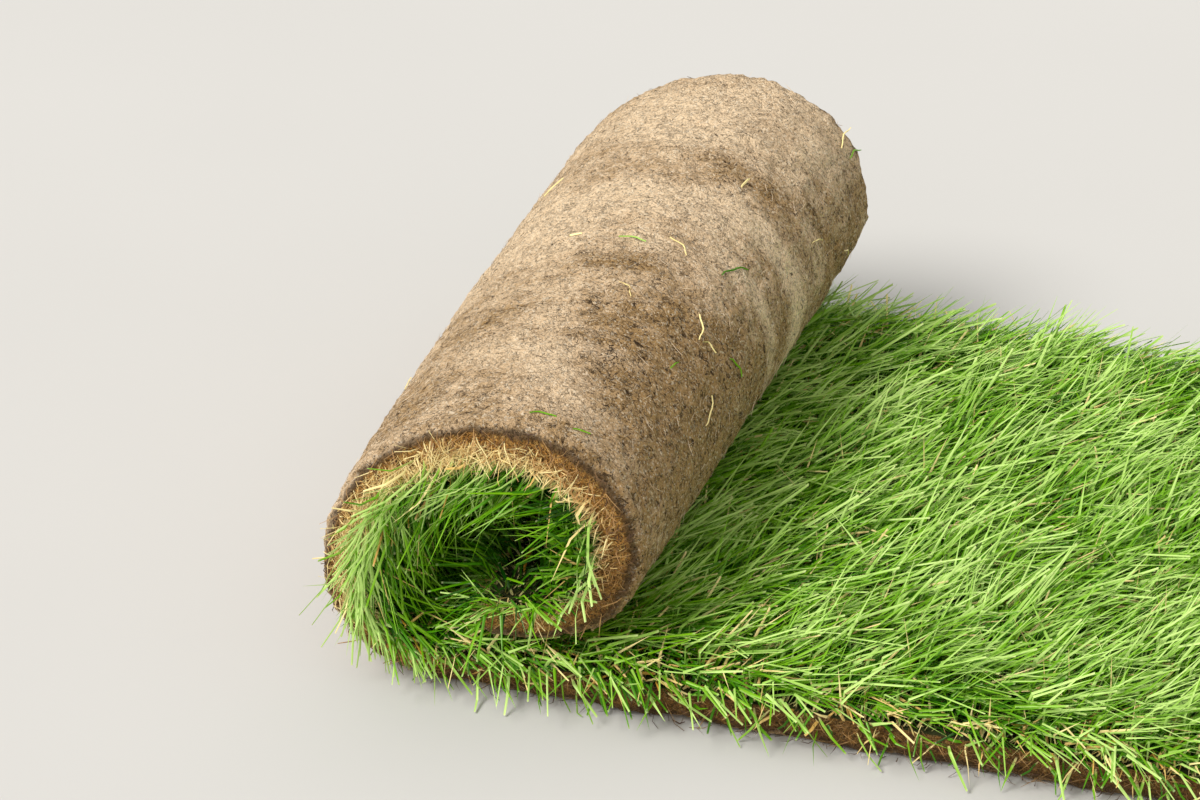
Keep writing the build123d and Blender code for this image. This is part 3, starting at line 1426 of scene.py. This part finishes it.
@dataclass
class Sward:
    """The grass: combed flat on the laid stretch, loose inside the roll, and spilling over the cuts.

    Attributes:
        strip: the course that it grows on.
        tree: the blade tree.
        finish: the blades' material.
        comb_turn: how far the laid grass is combed off the strip's length, towards the far cut.
        edge_turn: how far it turns the other way at the near cut.
        rim: how far in from a cut the grass turns outwards.
        feels_flank: how far ahead of the roll's flank its blades are already pressed.
        clear_of_flank: how far under the flank's edge they stand free again.
        over_cut: how high the blades stand that reach over a cut.
    """

    strip: Strip
    tree: bpy.types.NodeTree
    finish: bpy.types.Material
    comb_turn: float = math.radians(26)
    edge_turn: float = math.radians(8)
    rim: float = 12 * MM
    feels_flank: float = 12 * MM
    clear_of_flank: float = 8 * MM
    over_cut: float = 22 * MM

    LAID = Growth()
    ROLLED = Growth(
        length=46 * MM, root_lean=math.radians(15), tip_lean=math.radians(68), density=84000.0,
    )
    SPILLING = Growth(
        length=46 * MM, width=1.5 * MM, root_lean=math.radians(28), tip_lean=math.radians(98),
        density=150000.0, bends=3,
    )
    HANGING = Growth(
        length=40 * MM, root_lean=math.radians(35), tip_lean=math.radians(95), density=36000.0, bends=3,
        uneven_length=0.5,
    )

    STRETCHES = (0.0, 0.34, 0.67, 1.0)
    SPILL_LEGS = (1.0, 1.6, 2.2, 2.8, 3.3, 3.8, 4.4, 5.0, 6.0)
    SPILL = {
        "out": (0.7, 0.7, 0.55, 0.6, 0.55, 0.5, 0.5, 0.4, 0.4),
        "in": (0.6, 0.6, 0.55, 0.6, 0.7, 0.8, 0.9, 0.9, 0.9),
        "from": (0.7, 0.65, 0.55, 0.65, 0.78, 0.80, 0.82, 0.8, 0.6),
        "back": (0.4, 0.6, 0.9, 0.7, 0.5, 0.2, -0.1, -0.3, -0.8),
        "down": (0.4, 0.5, 0.6, 0.8, 0.9, 0.9, 0.6, 0.1, -0.2),
        "reach": (0.34, 0.45, 0.75, 0.90, 0.85, 0.65, 0.50, 0.48, 0.50),
        "lush": (2.2, 2.2, 2.2, 2.4, 2.0, 1.4, 0.9, 1.2, 2.4),
        "foot": (0.25, 0.35, 0.50, 0.48, 0.42, 0.38, 0.30, 0.25, 0.25),
    }

    def headroom(self, place: Place) -> np.ndarray:
        """How high the laid grass can stand: it is free in the open, and pressed under the roll's flank.

        Args:
            place: where it grows.

        Returns:
            The room over each place, which is a whole metre where nothing is above it.
        """
        lift, shoulder, crown, tuck, shift = self.strip.radii(place.at[..., 1])
        tuck_x = shift + (shoulder + crown) / 2 - tuck + self.strip.offset()
        x = place.at[..., 0]
        past = np.clip((x + self.feels_flank - tuck_x) / tuck, 0, 1)
        under = lift + shoulder - crown - np.sqrt(1 - past**2) * tuck - self.strip.mat
        clear = x + self.clear_of_flank > tuck_x + tuck
        hollow = x < tuck_x - self.strip.inner_straight
        return np.where(clear | hollow, 1.0, np.maximum(under, self.strip.pressed_pile * 0.8) * 0.9)

    def rims(self, y: np.ndarray) -> tuple[np.ndarray, np.ndarray]:
        """How close places are to a long cut.

        Args:
            y: places along the roll.

        Returns:
            The closeness, from 0 to 1 at the cut, and the way out there, as long as that.
        """
        near = 1 - ramp(y + self.strip.half, 0, self.rim)
        far = 1 - ramp(self.strip.half - y, 0, self.rim)
        return np.maximum(near, far), (far - near)[..., None] * ALONG_ROLL

    def laid(self, at: Sheet) -> dict[str, Any]:
        """The laid grass is combed towards the cut end and the far cut, and hangs over the near cut.

        Args:
            at: the seedbed.

        Returns:
            How it grows there, by the attribute's name.
        """
        rim, out = self.rims(at.y)
        x, y, half = at.place.at[..., 0], at.y, self.strip.half
        swirl = 0.35 * ripple(x, y, 26 * MM) + 0.20 * ripple(y, x, 9 * MM)
        clump = ripple(x + 0.2, y, 12 * MM) * (1 - rim)
        edge = 1 - ramp(y + half, 2 * MM, 26 * MM)
        tuft = np.sin(x / (17 * MM)) * np.sin(x / (31 * MM) + 1) * edge
        under = ramp(at.leg, 0.84, 0.88) * rim
        beyond = ramp(y, half - 60 * MM, half - 10 * MM)
        far = ramp(y, half - 30 * MM, half)
        end = 1 - ramp(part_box("root_mat")[1].x - x, 0, 20 * MM)
        turn = self.comb_turn * (1 - edge) * (1 - 0.6 * beyond) - self.edge_turn * edge + swirl - 0.5 * tuft
        comb = -at.place.onward * np.cos(turn)[..., None] + ALONG_ROLL * np.sin(turn)[..., None]
        over_cut = out * (0.35 + 0.8 * under)[..., None]
        over_end = at.place.onward * end[..., None] * 0.3
        return {
            "growth": unit(at.place.inward + over_cut - over_end),
            "comb": unit(comb + out * (0.3 + 0.4 * under)[..., None]),
            "reach": (1 + 0.14 * clump + 0.2 * tuft) * (1 - 0.32 * rim) * (1 - 0.25 * far),
            "room": self.headroom(at.place) + self.over_cut * (rim > 0.3),
            "droop": 0.03 + 0.17 * rim + 0.25 * end,
            "stray": 1.05 + 0.6 * rim,
            "lush": 1 + (0.8 + 0.4 * tuft) * rim + under + 0.3 * clump,
            "parched": 0.09 + 0.18 * rim,
            "foot": 0.05 + 0.40 * rim,
            "hue_and_painted_light": 0.10 * rim + 0.10 * clump,
        }

    def rolled(self, at: Sheet) -> dict[str, Any]:
        """Inside the roll the grass is combed back towards the ground, and spills out of both ends.

        Args:
            at: the seedbed.

        Returns:
            How it grows there, by the attribute's name.
        """
        rim, out = self.rims(at.y)
        deep = ramp(self.strip.half - np.abs(at.y), 40 * MM, 110 * MM)
        low = (1 - ramp(at.leg, 1.2, 1.9)) * rim
        inner = ramp(at.leg, 4.5, 5.0)
        over_end = ramp(at.leg, 5.3, 5.9)[..., None]
        above = ramp(at.leg, 2.8, 3.3) * (1 - ramp(at.leg, 4.4, 4.8)) * rim
        sink = 0.35 + 0.6 * inner * rim + 0.4 * above
        comb = -at.place.onward * (1 - 1.8 * over_end) + DOWN * sink[..., None] + out * 0.4
        over_cut = out * (0.5 + 0.5 * inner)[..., None]
        return {
            "growth": unit(at.place.inward + over_cut + at.place.onward * over_end * 0.4),
            "comb": unit(comb),
            "reach": 1 - 0.1 * rim - 0.35 * low - 0.3 * inner * rim,
            "room": 1.0,
            "droop": 0.2 + 0.35 * inner * rim,
            "stray": 0.9 + 0.3 * rim,
            "lush": (1 - 0.8 * deep) + (0.6 + 0.8 * inner) * rim + 0.9 * above + 0.3 * over_end[..., 0],
            "parched": 0.03 + 0.04 * rim,
            "foot": 0.15 + 0.20 * rim,
            # Painted shade: the grass inside the roll is coloured darker.
            "hue_and_painted_light": -0.20,
        }

    def spilling(self, at: Sheet) -> dict[str, Any]:
        """On the roll's cuts the blades come out over the thatch and hang, each way round as it lies.

        Args:
            at: the seedbed.

        Returns:
            How it grows there, by the attribute's name.
        """
        told = {key: np.interp(at.leg, self.SPILL_LEGS, row) for key, row in self.SPILL.items()}
        back, down = -at.place.onward * told["back"][..., None], DOWN * told["down"][..., None]
        growth = at.out * told["out"][..., None] + at.place.inward * told["in"][..., None]
        return {
            "growth": unit(growth),
            "comb": unit(back + down + at.out * 0.15),
            "reach": told["reach"] * np.where(at.y > 0, 0.7, 1.0),
            "room": self.over_cut,
            "droop": 0.18,
            "stray": np.where(at.y > 0, 0.5, 1.2),
            "lush": told["lush"] * ramp(at.depth / self.strip.mat, told["from"], told["from"] + 0.25),
            "parched": 0.05,
            "foot": told["foot"],
            # Painted light: the blades on the roll's ends are coloured lighter, as their upright faces get
            # less light.
            "hue_and_painted_light": 0.36,
        }

    def hanging(self, at: Sheet) -> dict[str, Any]:
        """On the laid stretch's cuts a few blades hang every way.

        Args:
            at: the seedbed.

        Returns:
            How they grow there, by the attribute's name.
        """
        return {
            "growth": unit(at.out + at.place.inward * 0.4),
            "comb": unit(DOWN - at.place.onward * 1.2),
            "reach": 0.5,
            "room": 20 * MM,
            "droop": 0.3,
            "stray": 2.5,
            "lush": ramp(at.depth / self.strip.mat, 0.6, 0.8) * (1 + 1.5 * ramp(at.leg, 0.85, 0.95)),
            "parched": 0.20,
            "foot": 0.3,
            "hue_and_painted_light": 0.10,
        }

    def grow(self, name: str, at: Sheet, habit: dict[str, Any], growth: Growth,
             seed: int) -> bpy.types.Object:
        """Grows blades on one sheet.

        Args:
            name: the piece's name.
            at: the seedbed.
            habit: how they grow there, by the attribute's name.
            growth: the blades' sizes.
            seed: the seed of every random draw.

        Returns:
            The piece.
        """
        obj = grown(at.seedbed(name, habit), self.tree, growth.values(seed, self.finish), BLADE_MARKS)
        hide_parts("grass")
        return obj

    def across(self) -> np.ndarray:
        """Places across the strip, closer to each other along both rims."""
        half = self.strip.half
        inner = np.linspace(-half + self.rim, half - self.rim, 34)
        near, far = np.linspace(-half + MM, inner[0], 6), np.linspace(inner[-1], half - MM, 6)
        return np.concatenate([near[:-1], inner, far[1:]])

    def build(self) -> list[bpy.types.Object]:
        """Makes the laid grass in stretches, the grass inside the roll, and what hangs over the cuts.

        Returns:
            The pieces.
        """
        strip, across = self.strip, self.across()
        depths = np.linspace(0.05, 1, 7) * strip.mat
        pieces = []
        for number, (first, last) in enumerate(zip(self.STRETCHES, self.STRETCHES[1:]), 1):
            at = Sheet.along(strip, strip.steps(first, last, 8 * MM), across, strip.mat)
            pieces.append(self.grow(f"laid_grass_{number}", at, self.laid(at), self.LAID, 10 + number))
        at = Sheet.along(strip, strip.steps(1, Strip.LEGS, 6 * MM), across, strip.mat)
        pieces.append(self.grow("rolled_grass", at, self.rolled(at), self.ROLLED, 31))
        at = Sheet.on_end(strip, np.linspace(-strip.half, strip.half, 60), depths, 0.0)
        pieces.append(self.grow("cut_end_edge_grass", at, self.hanging(at), self.HANGING, 61))
        for word, side in SIDES.items():
            at = Sheet.on_cut(strip, strip.steps(1, Strip.LEGS, 5 * MM), depths, side)
            pieces.append(self.grow(f"{word}_end_grass", at, self.spilling(at), self.SPILLING, 41 + side))
            at = Sheet.on_cut(strip, strip.steps(0, 1.1, 6 * MM), depths, side)
            pieces.append(self.grow(f"{word}_edge_grass", at, self.hanging(at), self.HANGING, 51 + side))
        return pieces


@dataclass
class Thatch:
    """Roots and dead stems that stick out of the cuts, and what lies on the soil.

    Attributes:
        strip: the course that they follow.
        tree: the blade tree, which grows fibres as well.
    """

    strip: Strip
    tree: bpy.types.NodeTree

    ROOT = Growth(
        length=9 * MM, width=0.55 * MM, root_lean=math.radians(20), tip_lean=math.radians(80),
        density=100000.0, uneven_length=0.5, uneven_lean=0.8, thickness=0.6, curl=1.2 * MM,
    )
    STEM = Growth(
        length=9 * MM, width=0.75 * MM, root_lean=math.radians(30), tip_lean=math.radians(100),
        density=780000.0, uneven_length=0.6, uneven_lean=0.6, thickness=0.3, curl=1.2 * MM,
    )
    HAIR = Growth(
        length=7 * MM, width=0.40 * MM, root_lean=math.radians(80), tip_lean=math.radians(94),
        density=15000.0, uneven_length=0.5, uneven_lean=0.12, thickness=0.6, curl=0.8 * MM,
    )
    LOOSE = {"droop": 0.1, "stray": 6.3, "parched": 0.0, "room": 1.0, "foot": 0.0, "reach": 1.0, "hue_and_painted_light": 0.0}

    RUST = {"dark": (0.07, 0.028, 0.01), "pale": (0.70, 0.40, 0.14)}
    STRAW = {"dark": (0.58, 0.28, 0.04), "pale": (1.0, 0.84, 0.40)}
    FELT = {"dark": (0.18, 0.12, 0.063), "pale": (0.80, 0.63, 0.43)}

    def depths(self) -> np.ndarray:
        """Depths on a cut, from just inside the soil side to just inside the grass side."""
        return np.linspace(0.06, 0.98, 6) * self.strip.mat

    def grow(self, name: str, at: Sheet, habit: dict[str, Any], growth: Growth, seed: int,
             finish: FibreFinish) -> bpy.types.Object:
        """Grows fibres on one sheet.

        Args:
            name: the piece's name.
            at: the seedbed.
            habit: what differs there from loose fibres that lie any way, by the attribute's name.
            growth: the fibres' sizes.
            seed: the seed of every random draw.
            finish: their finish.

        Returns:
            The piece.
        """
        seedbed = at.seedbed(name, self.LOOSE | habit)
        return grown(seedbed, self.tree, growth.values(seed, finish.make()), ("along", "tone"))

    def roots(self) -> list[bpy.types.Object]:
        """Makes the roots and torn fibres on both long cuts and on both ends of the strip.

        Returns:
            The pieces.
        """
        strip, depths = self.strip, self.depths()
        legs = strip.steps(0, Strip.LEGS, 8 * MM)
        across = np.linspace(-0.97, 0.97, 50) * strip.half
        cuts = {word: Sheet.on_cut(strip, legs, depths, side) for word, side in SIDES.items()}
        cuts["cut_end"] = Sheet.on_end(strip, across, depths, 0.0)
        cuts["inner_end"] = Sheet.on_end(strip, across, depths, Strip.LEGS)
        pieces = []
        for number, (word, at) in enumerate(cuts.items()):
            deep = at.depth / strip.mat
            shown = 1.0 if word == "near" else ramp(deep, 0.3, 0.5)
            habit = {
                "growth": at.out, "comb": at.place.inward, "stray": 2.6,
                # Roots on the laid stretch's cuts are darker: painted shade under the overhanging grass,
                # besides damp.
                "hue_and_painted_light": (deep - 0.6) * 0.8 - 0.35 * (at.leg < 1),
                "lush": (0.6 + 0.7 * deep) * shown,
            }
            finish = FibreFinish(f"{word} roots", **self.RUST)
            pieces.append(self.grow(f"{word}_roots", at, habit, self.ROOT, 60 + 2 * number, finish))
        return pieces

    def stems(self) -> list[bpy.types.Object]:
        """Makes the dead stems that curl out of the roll's two ends between soil and grass.

        Returns:
            The pieces.
        """
        strip = self.strip
        pieces = []
        for word, side in SIDES.items():
            at = Sheet.on_cut(strip, strip.steps(1.5, Strip.LEGS, 6 * MM), self.depths(), side)
            where = np.interp(at.leg, (1.4, 1.9, 3.2, 3.7, 5.0, 6.0), (0.5, 1.0, 1.0, 0.35, 0.25, 0.3))
            start = np.interp(at.leg, (1.4, 2.0, 2.8, 3.2, 6.0), (0.4, 0.2, 0.35, 0.55, 0.65))
            start = start + (0.2 if side > 0 else 0)
            habit = {
                "growth": unit(at.out + at.place.inward * 0.2),
                "comb": at.place.inward - at.place.onward * 0.5,
                "stray": 2.4 if side < 0 else 1.0,
                "lush": ramp(at.depth / strip.mat, start, start + 0.25) * where,
                "hue_and_painted_light": 0.05,
            }
            finish = FibreFinish(f"{word} stems", **self.STRAW)
            pieces.append(self.grow(f"{word}_stems", at, habit, self.STEM, 71 + side, finish))
        return pieces

    def felt(self) -> bpy.types.Object:
        """Makes the felt of fine fibres that lies on the roll's soil.

        Returns:
            The piece.
        """
        across = np.linspace(-0.96, 0.96, 30) * self.strip.half
        at = Sheet.along(self.strip, self.strip.steps(1.1, 4.9, 8 * MM), across, 0.0)
        habit = {"growth": -at.place.inward, "comb": at.place.onward, "lush": 1.0, "droop": 0.0}
        return self.grow("felt", at, habit, self.HAIR, 81, FibreFinish("felt", **self.FELT))

    def build(self) -> list[bpy.types.Object]:
        """Makes the fibres of the cuts and the felt on the soil."""
        return [*self.roots(), *self.stems(), self.felt()]


@dataclass(frozen=True)
class Scrap:
    """One loose blade or straw that lies on the roll.

    Attributes:
        leg: the leg number of its middle.
        y: its middle's place along the roll, in millimetres.
        heading: which way it points, in degrees from onward towards the far cut.
        length: its length, in millimetres.
        width: its width, in millimetres.
        bow: how far it bows to one side, as a share of its length.
        green: true for a fresh blade, false for straw.
    """

    leg: float
    y: float
    heading: float
    length: float
    width: float = 1.6
    bow: float = 0.08
    green: bool = False

    STEPS = 6
    CORNERS = ((-1, 0.85), (1, 0.85), (0, 1.5))
    NARROWER = 0.30

    def shape(self, strip: Strip) -> tuple[np.ndarray, list[list[int]]]:
        """Lays the scrap just over the soil as a thin closed strip.

        Args:
            strip: the course that it lies on.

        Returns:
            Its corners and its faces.
        """
        turn = (strip.lift, strip.shoulder, strip.crown, strip.crown)[min(int(self.leg) - 1, 3)]
        share = np.linspace(-0.5, 0.5, self.STEPS + 1)
        onward, aside = math.cos(math.radians(self.heading)), math.sin(math.radians(self.heading))
        ahead = share * self.length
        bowed = ((0.25 - share**2) * 4 + np.sin(9 * share + self.y) * 0.3) * self.bow * self.length
        width = self.width * self.NARROWER * (1 - 1.5 * np.abs(share) ** 2)
        corners = []
        for over, height in self.CORNERS:
            along = ahead * onward - (bowed + over * width) * aside
            across = ahead * aside + (bowed + over * width) * onward
            leg = self.leg + along * MM / (turn * math.pi / 2)
            corners.append(strip.place(leg, (self.y + across) * MM, -height * MM).at)
        points = np.stack(corners, 1).reshape(-1, 3)
        faces = []
        last = 3 * self.STEPS
        for first in range(0, last, 3):
            after = first + 3
            faces += [[first + a, first + b, after + b, after + a] for a, b in ((0, 1), (1, 2), (2, 0))]
        return points, [*faces, [2, 1, 0], [last, last + 1, last + 2]]


SCRAPS = (
    Scrap(3.5, 5, 65, 24, 1.8, 0.10, True),
    Scrap(3.8, -45, 25, 16, 2.0, 0.15, True),
    Scrap(3.1, -185, 10, 14, 1.6, 0.10, True),
    Scrap(3.3, -185, 20, 10, 1.5, 0.05, True),
    Scrap(3.0, -10, -10, 12, 1.5, 0.12, True),
    Scrap(3.5, -95, 80, 9, 1.4, 0.05, True),
    Scrap(3.5, -55, -65, 18, 1.7, 0.12),
    Scrap(3.8, -90, -65, 19, 1.3, 0.14),
    Scrap(3.8, 100, 70, 15, 1.2, 0.06),
    Scrap(4.1, 150, 60, 22, 1.3, 0.10),
    Scrap(3.3, 80, 85, 12, 2.2, 0.04),
    Scrap(3.2, -5, -35, 16, 1.0, 0.15),
    Scrap(2.8, -5, 5, 7, 2.6, 0.02),
    Scrap(3.6, -60, 15, 11, 1.0, 0.20),
    Scrap(3.1, -60, -50, 14, 0.9, 0.18),
    Scrap(3.6, 190, 95, 24, 1.5, 0.08),
    Scrap(3.7, 190, 80, 18, 1.8, 0.10, True),
    Scrap(2.5, 90, 40, 15, 1.1, 0.12),
    Scrap(2.3, -90, -30, 18, 1.2, 0.10),
    Scrap(2.1, 60, 75, 13, 1.0, 0.08, True),
)


def scraps(strip: Strip, finish: bpy.types.Material) -> bpy.types.Object:
    """Makes the loose blades and straws on the roll as one mesh.

    Args:
        strip: the course that they lie on.
        finish: the blades' material.

    Returns:
        The piece.
    """
    points, faces, marks = [], [], {name: [] for name in BLADE_MARKS}
    for number, scrap in enumerate(SCRAPS):
        corners, sides = scrap.shape(strip)
        first = sum(len(p) for p in points)
        points.append(corners)
        faces += [[first + i for i in side] for side in sides]
        tone = 0.45 + 0.1 * (number % 5) if scrap.green else 1.0
        values = {"along": 0.5, "tone": tone, "mown": 0.0, "dry": float(not scrap.green), "pale_foot": 0.0}
        for name, value in values.items():
            marks[name] += [value] * len(corners)
    marks = {name: np.array(values) for name, values in marks.items()}
    obj = mesh_object("loose_blades", np.concatenate(points), faces, marks)
    obj.data.materials.append(finish)
    return obj


# The set


@dataclass(frozen=True)
class Camera:
    """The camera's place, from the view that the reference shows.

    Attributes:
        lens: the focal length, in millimetres.
        azimuth: how far it is turned to the left, in degrees.
        elevation: how far it looks down, in degrees.
        distance: how far away it stands.
        aim: the point that it looks towards.
        aim_right: how far right of the frame's middle that point shows, in frame widths.
        aim_up: how far above the middle it shows, in frame widths.
        sensor: the sensor's width, in millimetres.
    """

    lens: float = 120.0
    azimuth: float = 15.916
    elevation: float = 32.777
    distance: float = 2.350
    aim: Triple = (-0.3343, 0.0, 0.080)
    aim_right: float = -20.4 / 1200
    aim_up: float = 17.7 / 1200
    sensor: float = 36.0

    def build(self) -> None:
        """Makes the camera, which turns off the aim by moving sideways, with no lens shift."""
        turn, down = math.radians(self.azimuth), math.radians(self.elevation)
        right = Vector((math.cos(turn), math.sin(turn), 0))
        ahead = Vector((-math.sin(turn) * math.cos(down), math.cos(turn) * math.cos(down), -math.sin(down)))
        up = right.cross(ahead)
        reach = self.sensor / self.lens * self.distance
        off_aim = right * self.aim_right * reach + up * self.aim_up * reach
        eye = Vector(self.aim) - ahead * self.distance - off_aim
        data = bpy.data.cameras.new("camera")
        data.lens, data.sensor_width = self.lens, self.sensor
        data.clip_start, data.clip_end = 0.05, 50.0
        obj = bpy.data.objects.new("camera", data)
        obj.matrix_world = Matrix.Translation(eye) @ Matrix((right, up, -ahead)).transposed().to_4x4()
        bpy.context.scene.collection.objects.link(obj)
        bpy.context.scene.camera = obj


@dataclass(frozen=True)
class Studio:
    """A plain pale floor under soft light from the upper left.

    Attributes:
        floor_size: how wide the floor is.
        floor_colour: its colour.
        floor_cloud: how much of that colour is left where it is darkest.
        sky: the strength of the light from all round.
        sky_colour: its colour.
        key: the strength of the light from one side.
        key_colour: its colour.
        key_softness: the angle that its source fills.
        key_from: where it comes from.
    """

    floor_size: float = 30.0
    floor_colour: Triple = (0.62, 0.61, 0.59)
    floor_cloud: float = 0.98
    sky: float = 0.66
    sky_colour: Triple = (1.0, 0.985, 0.96)
    key: float = 2.65
    key_colour: Triple = (1.0, 0.98, 0.94)
    key_softness: float = math.radians(26)
    key_from: Triple = (-0.48, -0.44, 0.76)

    def floor(self) -> None:
        """Makes the floor."""
        half = self.floor_size / 2
        corners = np.array([(-half, -half, 0), (half, -half, 0), (half, half, 0), (-half, half, 0)])
        floor = mesh_object("floor", corners, np.array([(0, 1, 2, 3)]), {})
        material, graph, shader = start_material("pale floor")
        darker = tuple(part * self.floor_cloud for part in self.floor_colour)
        tint = blend(graph, graph.spread(noise(graph, 3, 2), 0.3, 0.7), self.floor_colour, darker)
        graph.feed(shader.inputs["Base Color"], tint)
        shader.inputs["Roughness"].default_value = 0.9
        floor.data.materials.append(material)

    def lights(self) -> None:
        """Makes the sky and the key light."""
        scene = bpy.context.scene
        scene.world = bpy.data.worlds.new("sky")
        scene.world.use_nodes = True
        background = scene.world.node_tree.nodes["Background"]
        background.inputs["Color"].default_value = (*self.sky_colour, 1.0)
        background.inputs["Strength"].default_value = self.sky
        lamp = bpy.data.lights.new("key", "SUN")
        lamp.energy, lamp.angle, lamp.color = self.key, self.key_softness, self.key_colour
        obj = bpy.data.objects.new("key", lamp)
        obj.rotation_euler = Vector(self.key_from).to_track_quat("Z", "Y").to_euler()
        scene.collection.objects.link(obj)

    def build(self) -> None:
        """Makes the floor and the lights, and sets how the picture shows colours."""
        self.floor()
        self.lights()
        bpy.context.scene.view_settings.view_transform = "Standard"


def settle(piece: bpy.types.Object, slot: Slot) -> None:
    """Lets a piece ride with the strip and reports it.

    Args:
        piece: the finished piece.
        slot: the record's slot that its finish belongs to; not used.
    """
    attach(piece, "root")
    log.info("%s: %d triangles", piece.name, triangles(piece))


def main() -> None:
    """Builds the turf and its set, and reports each piece's triangles."""
    logging.basicConfig(level=logging.INFO, format="%(message)s")
    strip = Strip()
    Camera().build()
    Studio().build()
    settle(RootMat(strip).build(relief_tree(), SoilFinish().make()), Slot.SOIL)
    blades, green = BladeTree().build(), BladeFinish().make()
    for piece in Sward(strip, blades, green).build():
        settle(piece, Slot.GRASS)
    settle(scraps(strip, green), Slot.GRASS)
    for piece in Thatch(strip, blades).build():
        settle(piece, Slot.SOIL)


if __name__ == "__main__":
    main()
